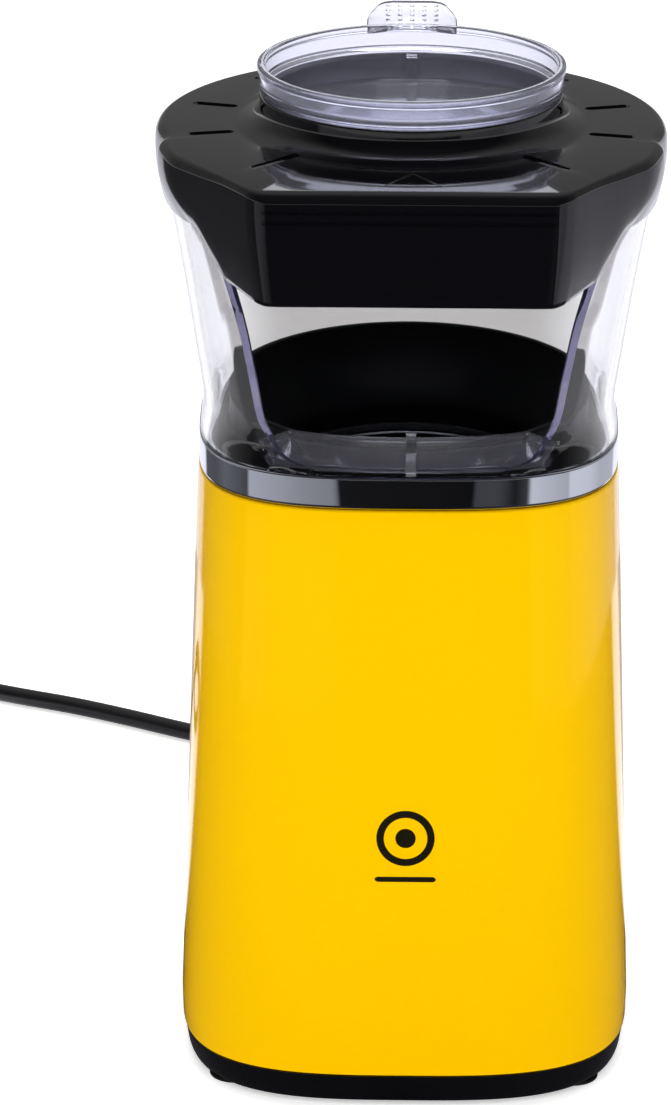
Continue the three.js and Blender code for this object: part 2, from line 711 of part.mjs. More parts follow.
add("mica_frame", micaFrame(), mica);
add("heating_element", heatingElement(), nichrome);
add(
  "thermostat",
  join(
    cylinderAlongX(7, ductOuter + GAP, ductOuter + GAP + 5, 0, THERMOSTAT_HEIGHT, 24),
    cylinderAlongX(4, ductOuter + GAP + 4, ductOuter + GAP + 9, 0, THERMOSTAT_HEIGHT),
  ).rotateZ(radians(140)),
  steel,
);
add("thermal_fuse", post(2, THERMOSTAT_HEIGHT - 8, THERMOSTAT_HEIGHT + 8, -(ductOuter + GAP + 2), 0), aluminium);

// ---------------------------------------------------------------------------------------------
// Circuit board with its diodes and capacitor, on two bosses of the housing
// ---------------------------------------------------------------------------------------------
function circuitBoard() {
  const face = boardX - BOARD.thickness / 2;
  const diodes = [-1.5, -0.5, 0.5, 1.5].map((k) =>
    cylinderAlongX(1.6, face - 3, face + OVERLAP / 2, k * 5, BOARD.centre - 10, 8),
  );
  const capacitor = cylinderAlongX(4, face - 5, face + OVERLAP / 2, 0, BOARD.centre + 10);
  const plate = box(BOARD.thickness, BOARD.width, BOARD.height, boardX, 0, BOARD.centre);
  const holes = [-1, 1].map((s) =>
    cylinderAlongX(SCREW_RADIUS + GAP, face - OVERLAP, face + 2 * BOARD.thickness, s * boardScrewY, BOARD.centre),
  );
  return cut(join(plate, ...diodes, capacitor), ...holes);
}

add("circuit_board", circuitBoard(), boardGreen);
[-1, 1].forEach((s, i) => {
  const head = boardX - BOARD.thickness / 2 - GAP;
  const screw = join(
    cylinderAlongX(SCREW_HEAD_RADIUS, head - SCREW_HEAD_HEIGHT, head, s * boardScrewY, BOARD.centre),
    cylinderAlongX(SCREW_RADIUS, head - OVERLAP, head + BOARD.thickness + 5, s * boardScrewY, BOARD.centre),
  );
  add(`board_screw_${i + 1}`, screw, steel);
});

// ---------------------------------------------------------------------------------------------
// Rocker switch in the back wall
// ---------------------------------------------------------------------------------------------
const bezelInner = halfWidthAt(SWITCH_HEIGHT - SWITCH_TALL / 2) + GAP;
const BEZEL_THICKNESS = 2;
const wellHalf = SWITCH_TALL / 2 - 1.9;
const wellDepth = 6;

function switchBody() {
  const outer = bezelInner + BEZEL_THICKNESS;
  const barrel = SWITCH_DEPTH - BEZEL_THICKNESS + OVERLAP;
  return cut(
    join(
      box(SWITCH_WIDTH, BEZEL_THICKNESS, SWITCH_TALL, 0, bezelInner + BEZEL_THICKNESS / 2, SWITCH_HEIGHT),
      box(SWITCH_WIDTH - 2.4, barrel, SWITCH_TALL - 2.4, 0, bezelInner + OVERLAP - barrel / 2, SWITCH_HEIGHT),
    ),
    box(ROCKER_WIDTH + 2 * GAP, 2 * wellDepth, 2 * wellHalf, 0, outer, SWITCH_HEIGHT),
  );
}

// Seen along X: one half of the face stands out, the other lies flush, about a pin at the middle.
function rocker() {
  const face = outline([
    [-3.4, -2.6],
    [3.4, -2.6],
    [4.2, 1.2],
    [0, 1.9],
    [-4.2, 3.6],
  ]);
  return new THREE.ExtrudeGeometry(face, { depth: ROCKER_WIDTH, bevelEnabled: false })
    .translate(0, 0, -ROCKER_WIDTH / 2)
    .rotateY(Math.PI / 2)
    .translate(0, bezelInner + 0.4, SWITCH_HEIGHT);
}

add("switch_body", switchBody(), blackPlastic);
add("switch_rocker", rocker(), blackGloss);

// ---------------------------------------------------------------------------------------------
// Hood: rounded-square at the trim ring, round under the cover, with the outlet and its ramp
// ---------------------------------------------------------------------------------------------
const hoodTop = coverTop - COVER_WALL - GAP;
const hoodHalf = topHalfWidth - 0.7;
const hoodSquareness = (z) =>
  lerp(BOTTOM_SQUARENESS, 2, THREE.MathUtils.clamp((z - hoodBottom) / (HOOD_HEIGHT - 4), 0, 1));

function hood() {
  const waist = hoodBottom + 8.5;
  const outer = [
    [hoodHalf, hoodBottom],
    [hoodHalf - HOOD_WAIST * 0.4, hoodBottom + 3.5],
    [hoodHalf - HOOD_WAIST * 0.7, waist],
    ...[0.2, 0.4, 0.6, 0.8, 1].map((t) => [
      lerp(hoodHalf - HOOD_WAIST * 0.8, hoodTopRadius, t ** 1.04),
      lerp(waist, coverBottom, t),
    ]),
    [hoodTopRadius, hoodTop],
  ];
  const inner = outer.map(([r, z]) => [r - HOOD_WALL, z]).reverse();
  const shell = squared(lathe([...outer, ...inner]), hoodSquareness);

  const sill = hoodBottom + OUTLET_SILL;
  const height = coverBottom - sill;
  const edge = [
    [OUTLET_HALF_WIDTH - 3, sill + height * 0.1],
    [OUTLET_HALF_WIDTH, sill + height * 0.17],
    [OUTLET_HALF_WIDTH + 2.7, sill + height * 0.37],
    [OUTLET_HALF_WIDTH + 5.7, sill + height * 0.58],
    [OUTLET_HALF_WIDTH + 10.2, sill + height * 0.79],
    [OUTLET_HALF_WIDTH + OUTLET_SPREAD, coverBottom - 1],
    [OUTLET_HALF_WIDTH + OUTLET_SPREAD + 5, coverBottom + 4],
  ];
  const vectors = (points) => points.map(([x, z]) => new THREE.Vector2(x, z));
  const outlet = new THREE.Shape()
    .moveTo(-OUTLET_HALF_WIDTH + 14, sill)
    .lineTo(OUTLET_HALF_WIDTH - 14, sill)
    .bezierCurveTo(OUTLET_HALF_WIDTH - 8, sill, OUTLET_HALF_WIDTH - 5, sill + 3, ...edge[0])
    .splineThru(vectors(edge.slice(1)))
    .lineTo(edge[6][0], hoodTop + OVERLAP)
    .lineTo(-edge[6][0], hoodTop + OVERLAP)
    .lineTo(-edge[6][0], edge[6][1])
    .splineThru(vectors(edge.slice(0, 6).reverse().map(([x, z]) => [-x, z])))
    .bezierCurveTo(-OUTLET_HALF_WIDTH + 5, sill + 3, -OUTLET_HALF_WIDTH + 8, sill, -OUTLET_HALF_WIDTH + 14, sill);
  const opened = cut(shell, run(outlet, -2 * hoodTopRadius, 0, 5));

  // The ramp leads from the sill up to the funnel's rim.
  const rampTop = hoodBottom + LIP_HEIGHT;
  const rampInner = funnelRim + 0.8;
  const foot = hoodHalf - HOOD_WALL;
  const ring = squared(
    lathe(
      [
        [foot + 1, hoodBottom + 0.2],
        [rampInner + 1.5, rampTop],
        [rampInner, rampTop],
        [foot - 0.8, hoodBottom + 0.2],
      ],
      48,
    ),
    (z) => lerp(BOTTOM_SQUARENESS, 2.05, (z - hoodBottom) / LIP_HEIGHT),
  );
  const reach = 2 * (OUTLET_HALF_WIDTH - 3);
  const ramp = common(ring, box(reach, hoodTopRadius, 60, 0, -hoodTopRadius / 2 - 20, hoodBottom));
  return join(opened, ramp);
}

add("hood", hood(), clearPlastic, hoodGroup);

// ---------------------------------------------------------------------------------------------
// Cover: flat round top that runs forward into a nose, with vents and the raised cup seat
// ---------------------------------------------------------------------------------------------
const CUP_CLEARANCE = 0.4; // between the cup and its seat
const cupHalf = CUP_RIM_RADIUS - 2.8;
const seatInner = cupHalf + CUP_CLEARANCE;
const seatOuter = seatInner + SEAT_WALL;
const seatTop = coverTop + SEAT_HEIGHT;
const ledgeTop = coverTop - 0.6;
const SEAT_LEDGE = 5;

function coverOutline(scale = 1) {
  const r = COVER_RADIUS;
  const front = [
    [-r + 1.1, -24],
    [-r + 5.4, -39.5],
    [-r + 13.9, -54],
    [-NOSE_HALF_WIDTH - 6, -NOSE_REACH + 5],
  ];
  const at = (points) => points.map(([x, y]) => new THREE.Vector2(x * scale, y * scale));
  const mirror = (points) => points.map(([x, y]) => [-x, y]);
  const reach = -NOSE_REACH * scale;
  return new THREE.Shape()
    .absarc(0, 0, r * scale, 0, Math.PI / 2, false)
    .absarc(0, 0, r * scale, Math.PI / 2, Math.PI, false)
    .splineThru(at(front))
    .quadraticCurveTo((-NOSE_HALF_WIDTH - 3) * scale, reach, (-NOSE_HALF_WIDTH + 2) * scale, reach)
    .lineTo((NOSE_HALF_WIDTH - 2) * scale, reach)
    .quadraticCurveTo((NOSE_HALF_WIDTH + 3) * scale, reach, (NOSE_HALF_WIDTH + 6) * scale, reach + 5 * scale)
    .splineThru(at(mirror(front.slice(0, 3)).reverse().concat([[r, 0]])));
}

// The nose's walls lean out towards the cover.
function nose(inset, bottom, top, back) {
  const half = NOSE_HALF_WIDTH - inset;
  const reach = -NOSE_REACH + inset;
  const backHalf = OUTLET_HALF_WIDTH + OUTLET_SPREAD - 6.6 - inset;
  const plan = outline([
    [-half + 3, reach],
    [half - 3, reach],
    [half + 0.6, reach + 3.4],
    [backHalf, back],
    [-backHalf, back],
    [-half - 0.6, reach + 3.4],
  ]);
  const geometry = slab(plan, bottom, top - bottom);
  const p = geometry.getAttribute("position");
  for (let i = 0; i < p.count; i++) {
    const lean = 1 + (0.11 * (p.getZ(i) - (coverBottom - NOSE_HEIGHT))) / NOSE_HEIGHT;
    p.setX(i, p.getX(i) * lean);
  }
  return geometry;
}

function slot(angle) {
  const middle = (SLOT_INNER_RADIUS + SLOT_OUTER_RADIUS) / 2;
  const straight = SLOT_OUTER_RADIUS - SLOT_INNER_RADIUS - SLOT_WIDTH;
  const shape = new THREE.Shape()
    .moveTo(-straight / 2, -SLOT_WIDTH / 2)
    .lineTo(straight / 2, -SLOT_WIDTH / 2)
    .absarc(straight / 2, 0, SLOT_WIDTH / 2, -Math.PI / 2, Math.PI / 2, false)
    .lineTo(-straight / 2, SLOT_WIDTH / 2)
    .absarc(-straight / 2, 0, SLOT_WIDTH / 2, Math.PI / 2, (3 * Math.PI) / 2, false);
  return slab(shape, coverTop - 3 * COVER_WALL, 6 * COVER_WALL, { curveSegments: 2 })
    .translate(middle, 0, 0)
    .rotateZ(radians(angle));
}

function cover() {
  const inside = (COVER_RADIUS - COVER_WALL) / COVER_RADIUS;
  const noseBottom = coverBottom - NOSE_HEIGHT;
  const cap = slab(coverOutline(), coverBottom + COVER_ROUNDING, COVER_HEIGHT - 2 * COVER_ROUNDING, {
    bevelEnabled: true,
    bevelThickness: COVER_ROUNDING,
    bevelSize: COVER_ROUNDING,
    bevelOffset: -COVER_ROUNDING,
    bevelSegments: 2,
    curveSegments: 4,
  });
  const ceiling = coverTop - COVER_WALL;
  const wallBack = -47; // where the nose's walls meet the edges of the outlet
  const hollows = [
    slab(coverOutline(inside), coverBottom - OVERLAP, ceiling - coverBottom + OVERLAP, { curveSegments: 4 }),
    nose(COVER_WALL, noseBottom - OVERLAP, coverBottom + 5, wallBack + 10),
    post(seatInner, ceiling - OVERLAP, coverTop + OVERLAP, 0, 0, ROUND),
  ];
  const hollow = cut(join(cap, nose(0, noseBottom, coverBottom + 5, wallBack)), ...hollows);
  const seat = lathe([
    [seatInner - SEAT_LEDGE, ceiling - 2],
    [seatOuter + 1, ceiling - 2],
    [seatOuter + 6, ceiling + 1],
    [seatOuter + 6, coverTop - 0.3],
    [seatOuter + 2.4, coverTop + 1.4],
    [seatOuter + 0.5, coverTop + 4],
    [seatOuter, seatTop - 0.4],
    [seatOuter - 0.4, seatTop],
    [seatInner, seatTop],
    [seatInner, ledgeTop],
    [seatInner - SEAT_LEDGE, ledgeTop],
  ]);
  const vents = SLOT_ANGLES.flatMap((angle) => [slot(angle), slot(180 - angle)]);
  return cut(join(hollow, seat), ...vents);
}

add("cover", cover(), blackGloss, hoodGroup);

// ---------------------------------------------------------------------------------------------
// Measuring cup with its handle
// ---------------------------------------------------------------------------------------------
function measuringCup() {
  const bottom = ledgeTop + GAP;
  const top = bottom + CUP_HEIGHT;
  const floorTop = bottom + CUP_WALL;
  const inner = cupHalf - CUP_WALL;
  const cup = lathe([
    [0, bottom],
    [cupHalf - 2, bottom],
    [cupHalf - 1, bottom + 1],
    [cupHalf, top - 3.4],
    [CUP_RIM_RADIUS - 0.4, top - 2.6],
    [CUP_RIM_RADIUS, top - 1.2],
    [CUP_RIM_RADIUS - 0.6, top],
    [CUP_RIM_RADIUS - 2.2, top],
    [inner + 0.6, top - 2.4],
    [inner - 1, floorTop + 0.6],
    [inner - 1.6, floorTop],
    [0, floorTop],
  ]);
  const [half, tip] = [HANDLE_WIDTH / 2, HANDLE_WIDTH / 2 - 3.5];
  const tab = new THREE.Shape()
    .moveTo(-half, -2)
    .lineTo(half, -2)
    .lineTo(tip + 0.6, HANDLE_LENGTH - 3)
    .quadraticCurveTo(tip, HANDLE_LENGTH, tip - 3, HANDLE_LENGTH)
    .lineTo(-tip + 3, HANDLE_LENGTH)
    .quadraticCurveTo(-tip, HANDLE_LENGTH, -tip - 0.6, HANDLE_LENGTH - 3);
  const handle = slab(tab, 0, 1.8, { curveSegments: 4 })
    .rotateX(radians(HANDLE_TILT))
    .translate(0, CUP_RIM_RADIUS - 1.2, top - 2.2);
  return join(cup, handle);
}

add("measuring_cup", measuringCup(), clearPlastic, hoodGroup);

// ---------------------------------------------------------------------------------------------
// Mains cord: strain relief, the run along the table, the coil, its tie and the plug
// ---------------------------------------------------------------------------------------------
const reliefWall = halfWidthAt(CORD_EXIT_HEIGHT - RELIEF_RADIUS - 3);

function strainRelief() {
  const inside = -HOUSING_WALL - 2 * GAP;
  const flange = RELIEF_RADIUS + 2;
  return lathe(
    [
      [0, inside - 3],
      [flange, inside - 3],
      [flange, inside - 1],
      [RELIEF_RADIUS, inside - 1],
      [RELIEF_RADIUS, GAP],
      [flange, GAP],
      [flange, GAP + 2],
      [RELIEF_RADIUS, GAP + 3],
      [CORD_RADIUS + 1.1, RELIEF_LENGTH],
      [0, RELIEF_LENGTH],
    ],
    24,
  )
    .rotateX(-Math.PI / 2)
    .translate(0, reliefWall, CORD_EXIT_HEIGHT);
}

function cordTube() {
  const start = reliefWall + RELIEF_LENGTH + GAP;
  const straight = [0, start + 5, CORD_EXIT_HEIGHT - 0.1];
  return wire([[0, start, CORD_EXIT_HEIGHT], straight, ...CORD_POINTS], CORD_RADIUS, 8, 54);
}

const coilHalfWidth = COIL_TURN_WIDTH * CORD_RADIUS;
const coilHeight = 2 * CORD_RADIUS + CORD_RADIUS * Math.sqrt(3);
const coilOuter = COIL_MEAN_RADIUS + coilHalfWidth;

function cordCoil() {
  const inner = COIL_MEAN_RADIUS - coilHalfWidth;
  const top = COIL_LIFT + coilHeight;
  const chamfer = 1.5;
  return lathe(
    [
      [coilOuter - chamfer, COIL_LIFT],
      [coilOuter, COIL_LIFT + chamfer],
      [coilOuter, COIL_LIFT + 2 * CORD_RADIUS - chamfer],
      [coilOuter - CORD_RADIUS, top],
      [inner + CORD_RADIUS, top],
      [inner, COIL_LIFT + 2 * CORD_RADIUS - chamfer],
      [inner, COIL_LIFT + chamfer],
      [inner + chamfer, COIL_LIFT],
    ],
    32,
  ).translate(...COIL_CENTRE, 0);
}

// A flat band that goes once round the bundle of turns, on the near side of the coil.
function cordTie() {
  const [half, top] = [coilHalfWidth + GAP, COIL_LIFT + coilHeight + GAP];
  const bottom = COIL_LIFT - GAP;
  const frame = (grow) => [
    [-half - grow, bottom - grow],
    [half + grow, bottom - grow],
    [half + grow, top + grow],
    [-half - grow, top + grow],
  ];
  const loop = outline(frame(TIE_THICKNESS));
  loop.holes.push(new THREE.Path(frame(0).map(([x, z]) => new THREE.Vector2(x, z))));
  return run(loop, -TIE_WIDTH / 2, TIE_WIDTH / 2)
    .translate(-COIL_MEAN_RADIUS, 0, 0)
    .rotateZ(Math.PI / 2)
    .translate(...COIL_CENTRE, 0);
}

// The cord leaves the coil along its far side, straight into the plug, which lies beside the coil.
const plugX = COIL_CENTRE[0] - coilOuter + CORD_RADIUS;
const plugTail = COIL_CENTRE[1] - PLUG_TAIL_DROP;
const plugMiddle = PLUG.thickness / 2;

function cordEnd() {
  const clearOfCoil = COIL_CENTRE[1] - Math.sqrt(coilOuter ** 2 - (coilOuter - 2 * CORD_RADIUS) ** 2) - GAP;
  const length = clearOfCoil - plugTail - GAP;
  return new THREE.CylinderGeometry(CORD_RADIUS, CORD_RADIUS, length, 8).translate(
    plugX,
    plugTail + GAP + length / 2,
    plugMiddle,
  );
}

function plugBody() {
  const { length, width, thickness } = PLUG;
  const neck = CORD_RADIUS + 2.6;
  const shape = new THREE.Shape()
    .moveTo(neck, 0)
    .quadraticCurveTo(width / 2, -length * 0.3, width / 2, -length * 0.65)
    .lineTo(width / 2, -length)
    .lineTo(-width / 2, -length)
    .lineTo(-width / 2, -length * 0.65)
    .quadraticCurveTo(-width / 2, -length * 0.3, -neck, 0);
  return slab(shape, 0.2, thickness - 0.4, { curveSegments: 6 }).translate(plugX, plugTail, 0);
}

add("strain_relief", strainRelief(), rubber, cordGroup);
add("cord", cordTube(), rubber, cordGroup);
add("cord_coil", cordCoil(), rubber, cordGroup);
add("cord_end", cordEnd(), rubber, cordGroup);
add("cord_tie", cordTie(), blackPlastic, cordGroup);
add("plug_body", plugBody(), blackPlastic, cordGroup);
[-1, 1].forEach((s, i) => {
  const pin = new THREE.CylinderGeometry(PLUG.pinRadius, PLUG.pinRadius, PLUG.pinLength, SMALL_ROUND).translate(
    plugX + (s * PLUG.pinSpacing) / 2,
    plugTail - PLUG.length - GAP - PLUG.pinLength / 2,
    plugMiddle,
  );
  add(`plug_pin_${i + 1}`, pin, brass, cordGroup);
});

export default model;
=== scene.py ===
"""Looks of a hot-air popcorn maker, laid out as an add-on and run as a script.

Lengths in the shape code are millimetres about the housing's axis; `mesh_piece` turns them to metres.
"""

import math

import bmesh
import bpy
from mathutils import Matrix, Vector


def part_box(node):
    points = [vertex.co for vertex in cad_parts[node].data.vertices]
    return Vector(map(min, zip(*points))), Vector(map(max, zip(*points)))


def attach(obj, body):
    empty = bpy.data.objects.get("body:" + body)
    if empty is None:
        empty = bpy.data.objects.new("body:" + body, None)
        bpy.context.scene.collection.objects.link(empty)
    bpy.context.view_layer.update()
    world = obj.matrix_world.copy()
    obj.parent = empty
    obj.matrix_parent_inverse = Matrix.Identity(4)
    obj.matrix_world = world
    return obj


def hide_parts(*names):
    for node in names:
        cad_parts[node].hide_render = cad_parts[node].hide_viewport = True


bl_info = {
    "name": "Hot-air popcorn maker", "version": (1, 0, 0), "blender": (4, 5, 0),
    "location": "3D View > Sidebar > Popcorn",
    "description": "Builds the visible pieces of a hot-air popcorn maker around its packed frame",
    "category": "Add Mesh",
}

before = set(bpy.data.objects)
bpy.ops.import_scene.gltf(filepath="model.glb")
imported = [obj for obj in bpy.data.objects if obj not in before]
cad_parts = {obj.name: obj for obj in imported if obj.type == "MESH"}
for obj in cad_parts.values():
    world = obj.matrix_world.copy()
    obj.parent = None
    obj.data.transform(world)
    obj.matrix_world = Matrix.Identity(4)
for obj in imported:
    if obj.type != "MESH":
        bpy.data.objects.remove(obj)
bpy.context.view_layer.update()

MM = 0.001
low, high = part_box("trim_ring")
AXIS_Y = (low.y + high.y) / 2
TRIM_BOTTOM, TRIM_TOP = low.z / MM, high.z / MM
TRIM_HALF = (high.x - low.x) / 2 / MM
low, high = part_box("housing")
HOUSING_BOTTOM, HOUSING_TOP = 10.8, high.z / MM
HOUSING_HALF = (high.x - low.x) / 2 / MM
HOUSING_TAPER = 5.3
HOUSING_WALL = 2.6
SQUARENESS = 3.15
HOOD_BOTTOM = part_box("hood")[0].z / MM
COVER_TOP = 286.6
COVER_KNEE = COVER_TOP - 3.4
SIDES = 160
SWITCH_HEIGHT = 48.0
CORD_EXIT_HEIGHT = 25.0
HOOD_TOP = 283.8
LOUVRES = 14
LOUVRE_SLOPE = 0.466
HANDLE_SLOPE = math.radians(16)
HOOD_WALL = 3.4
RAMP_WALL = 2.6
TRIM_WIDTH = 3.5
LEDGE = 6.0

# The fitted camera: distances in metres, turns in radians, focal length over the frame's height.
SENSOR = 36
FOCAL, FRAME_TALL = 7044.5, 1105
CAMERA_BACK, CAMERA_HEIGHT = 2.0, 0.8363
CAMERA_YAW, CAMERA_TILT, CAMERA_ROLL = 0.01085, 0.3295, 0.0045


def half_width(z):
    """Half the housing's width across its flats at a height."""
    return HOUSING_HALF - HOUSING_TAPER * (z - HOUSING_BOTTOM) / (HOUSING_TOP - HOUSING_BOTTOM)


# --- Materials ---
def to_linear(code):
    """Linear colour, with full opacity, from an sRGB hex value."""
    parts = [int(code[i : i + 2], 16) / 255 for i in (0, 2, 4)]
    return tuple(c / 12.92 if c <= 0.04045 else ((c + 0.055) / 1.055) ** 2.4 for c in parts) + (1.0,)


def add_node(tree, kind, values=None, links=None, **settings):
    """Adds a node with its settings, its unlinked values and its links."""
    node = tree.nodes.new(kind)
    for key, value in settings.items():
        setattr(node, key, value)
    for socket, value in (values or {}).items():
        node.inputs[socket].default_value = value
    for socket, source in (links or {}).items():
        tree.links.new(source, node.inputs[socket])
    return node


def blank_material(name):
    """A material with an empty node tree."""
    material = bpy.data.materials.new(name)
    material.use_nodes = True
    material.node_tree.nodes.clear()
    return material, material.node_tree


def sum_of(tree, operation, *values):
    """Output of an arithmetic node over other outputs and plain numbers."""
    fixed = {k: v for k, v in enumerate(values) if isinstance(v, float)}
    linked = {k: v for k, v in enumerate(values) if not isinstance(v, float)}
    return add_node(tree, "ShaderNodeMath", fixed, linked, operation=operation).outputs[0]


def surface(
    name, colour, other, roughness, spread=0.15, grain=1.0, relief=0.01, stretch=(1, 1, 1), fade=None, **shader
):
    """A finish whose colour, roughness and relief drift with a grain of the given size in millimetres."""
    material, tree = blank_material(name)
    colour, other = (to_linear(c) if isinstance(c, str) else c for c in (colour, other))
    place = add_node(tree, "ShaderNodeTexCoord")
    run = add_node(tree, "ShaderNodeMapping", {"Scale": stretch}, {"Vector": place.outputs["Object"]})
    fine = add_node(
        tree, "ShaderNodeTexNoise", {"Scale": 1 / (grain * MM), "Detail": 3.0, "Roughness": 0.55},
        {"Vector": run.outputs["Vector"]},
    )
    broad = add_node(
        tree, "ShaderNodeTexNoise", {"Scale": 1 / (40 * grain * MM), "Detail": 2.0},
        {"Vector": place.outputs["Object"]},
    )
    share = broad.outputs["Fac"]
    # The fade greys the colour along Y in place of the broad drift; the hood uses it to paint shade towards its
    # back.
    if fade:
        parts = add_node(tree, "ShaderNodeSeparateXYZ", None, {0: place.outputs["Object"]})
        reach = {"From Min": fade[0] * MM, "From Max": fade[1] * MM}
        depth = add_node(tree, "ShaderNodeMapRange", reach, {"Value": parts.outputs["Y"]})
        share = depth.outputs["Result"]
    tint = add_node(tree, "ShaderNodeMix", {"A": colour, "B": other}, {"Factor": share}, data_type="RGBA")
    gloss = add_node(
        tree, "ShaderNodeMapRange",
        {"From Min": 0.3, "From Max": 0.7, "To Min": roughness * (1 - spread), "To Max": roughness * (1 + spread)},
        {"Value": fine.outputs["Fac"]},
    )
    bump = add_node(
        tree, "ShaderNodeBump", {"Strength": 1.0, "Distance": relief * MM}, {"Height": fine.outputs["Fac"]},
    )
    values = {key.replace("_", " ").title().replace("Ior", "IOR"): value for key, value in shader.items()}
    principled = add_node(
        tree,
        "ShaderNodeBsdfPrincipled",
        values,
        {
            "Base Color": tint.outputs["Result"], "Roughness": gloss.outputs["Result"],
            "Normal": bump.outputs["Normal"],
        },
    )
    add_node(tree, "ShaderNodeOutputMaterial", None, {"Surface": principled.outputs["BSDF"]})
    return material


def make_finishes(sizes):
    """Every finish on the object, by a maker's name for it."""
    yellow = tuple(sizes.housing_colour) + (1.0,)
    return {
        # Polished injection-moulded ABS: a hard, even gloss with the faintest orange peel.
        "yellow ABS": surface(
            "Gloss ABS, yellow", yellow, "FCC300", 0.08, grain=3, relief=0.0012, ior=1.5,
            specular_tint=(1.0, 0.72, 0.08, 1.0),
        ),
        # Electroplated ABS: a true mirror that picks up dark and light cards.
        "chrome": surface("Chrome-plated ABS", "E4E7EE", "DDE1EA", 0.035, grain=4, relief=0.0008, metallic=1.0),
        # Polished black ABS: mirrors the bright surroundings at a grazing look and stays black head on.
        "black ABS": surface("Gloss ABS, black", "08080B", "0C0C10", 0.06, grain=3, relief=0.0010, ior=1.54),
        # Glass-filled PP: finely sparked mould surface that scatters every highlight.
        "satin PP": surface(
            "Satin polypropylene, black", "07080B", "0A0B0F", 0.46, grain=0.5, relief=0.010, ior=1.49,
            specular_ior_level=0.12,
        ),
        # Moulded nylon inside and on the switch: dull with a fine grain.
        "black nylon": surface("Moulded nylon, black", "16161A", "1D1D21", 0.48, grain=0.7, relief=0.02, ior=1.53),
        # Clear SAN: water-clear with a faint violet cast where it is thick.
        "clear SAN": surface(
            "Clear SAN", "F0F0FF", "E8E8FD", 0.018, grain=6, relief=0.0015, ior=1.5, transmission_weight=0.93,
        ),
        # The same SAN in the thicker back wall of the hood, greyed towards the back: painted shade standing in for
        # the shadow the cover casts into the hood.
        "hood SAN": surface(
            "Clear SAN, painted shade at the back", "F7F7FC", "A7A5A6", 0.02, grain=6, relief=0.0015,
            fade=(30, 56), ior=1.5, transmission_weight=1.0,
        ),
        # The cut edge of thick SAN: light trapped in the wall leaves it a dark violet line.
        "SAN edge": surface(
            "Clear SAN, thick edge", "4C496C", "434164", 0.06, grain=4, relief=0.001, ior=1.5,
            transmission_weight=0.55,
        ),
        # SAN with a fine satin mould texture: milky where popcorn slides over it.
        "frosted SAN": surface(
            "Satin SAN", "E4E5F2", "DADBEA", 0.08, grain=2, relief=0.002, ior=1.5, transmission_weight=0.92,
        ),
        # Extruded flexible PVC: soft sheen with long flow marks.
        "PVC cord": surface("Flexible PVC, black", "111113", "17171A", 0.36, grain=0.9, relief=0.015, ior=1.52),
        # Moulded rubber: dull and slightly dusty.
        "rubber": surface("Moulded rubber, black", "131314", "1C1C1D", 0.78, grain=0.6, relief=0.03, ior=1.5),
        # Spun and hard-anodised aluminium: dark, with fine turning lines round the axis.
        "anodised": surface(
            "Hard-anodised aluminium", "34353A", "2A2B30", 0.4, grain=0.6, relief=0.01,
            stretch=(0.15, 0.15, 4), metallic=1.0,
        ),
        # Cast aluminium: light grey and slightly rough.
        "aluminium": surface("Cast aluminium", "B9BCC0", "A9ACB1", 0.38, grain=0.8, relief=0.02, metallic=1.0),
        # Zinc-plated sheet steel: cool grey with a rolled grain.
        "steel": surface(
            "Zinc-plated steel", "A4A8AE", "94989F", 0.33, grain=0.9, relief=0.01,
            stretch=(0.2, 1, 1), metallic=1.0,
        ),
        # Cast silicone: a dull charcoal that takes up a little light.
        "silicone": surface(
            "Silicone, charcoal", "222327", "1C1D20", 0.62, grain=0.8, relief=0.01, ior=1.43,
            subsurface_weight=0.08,
        ),
        # Pressed mica sheet: layered flakes with a pearly glint.
        "mica": surface(
            "Pressed mica sheet", "B7A27A", "9C8763", 0.5, spread=0.5, grain=1.6, relief=0.03,
            stretch=(1, 1, 3), ior=1.58,
        ),
        # Oxidised resistance wire: brown-grey metal.
        "resistance wire": surface(
            "Oxidised nichrome wire", "6F675E", "57504A", 0.5, grain=0.4, relief=0.01, metallic=1.0,
        ),
        # Epoxy glass board under a solder mask: semi-gloss green with a weave.
        "circuit board": surface(
            "Epoxy board, solder mask", "2E6B3E", "275C35", 0.32, grain=0.8, relief=0.008, ior=1.55,
        ),
        # Nickel-plated brass: pale warm metal.
        "pin metal": surface(
            "Nickel-plated brass", "CFC7AE", "C2B99E", 0.22, grain=0.7, relief=0.004, metallic=1.0,
        ),
        # Pad-printed ink: thin and slightly duller than the plastic under it.
        "ink": surface("Printed ink, black", "1A1608", "1F1A0A", 0.3, grain=0.5, relief=0.004, ior=1.5),
        # Seamless paper: matt white.
        "paper": surface("Seamless paper", "FFFFFF", "FDFDFD", 0.9, grain=2, relief=0.01, ior=1.3,
                         emission_color=(1.0, 1.0, 1.0, 1.0), emission_strength=0.55),
    }


# --- Shapes ---
def filleted(points, closed=True, steps=4):
    """Rounds the corners of a profile. A point is (radius, height, fillet, squareness)."""
    full = [tuple(p) + (0.0, 2.0)[len(p) - 2 :] for p in points]
    out = []
    for i, point in enumerate(full):
        if point[2] == 0 or (not closed and i in (0, len(full) - 1)):
            out.append(point)
            continue
        near = []
        for other in (full[i - 1], full[(i + 1) % len(full)]):
            reach = math.dist(point[:2], other[:2])
            share = min(point[2], 0.48 * reach) / reach
            near.append([a + (b - a) * share for a, b in zip(point, other)])
        for k in range(steps + 1):
            t = k / steps
            corner = zip(near[0], point, near[1])
            out.append(tuple((1 - t) ** 2 * a + 2 * t * (1 - t) * b + t * t * c for a, b, c in corner))
    return out


def section(half, z, squareness=2.0, sides=SIDES):
    """A ring of points: a circle at squareness 2, a rounded square above it."""
    if half < 1e-6:
        return [(0.0, 0.0, z)]
    ring = []
    for i in range(sides):
        c, s = math.cos(2 * math.pi * i / sides), math.sin(2 * math.pi * i / sides)
        push = half * (abs(c) ** squareness + abs(s) ** squareness) ** (-1 / squareness)
        ring.append((c * push, s * push, z))
    return ring


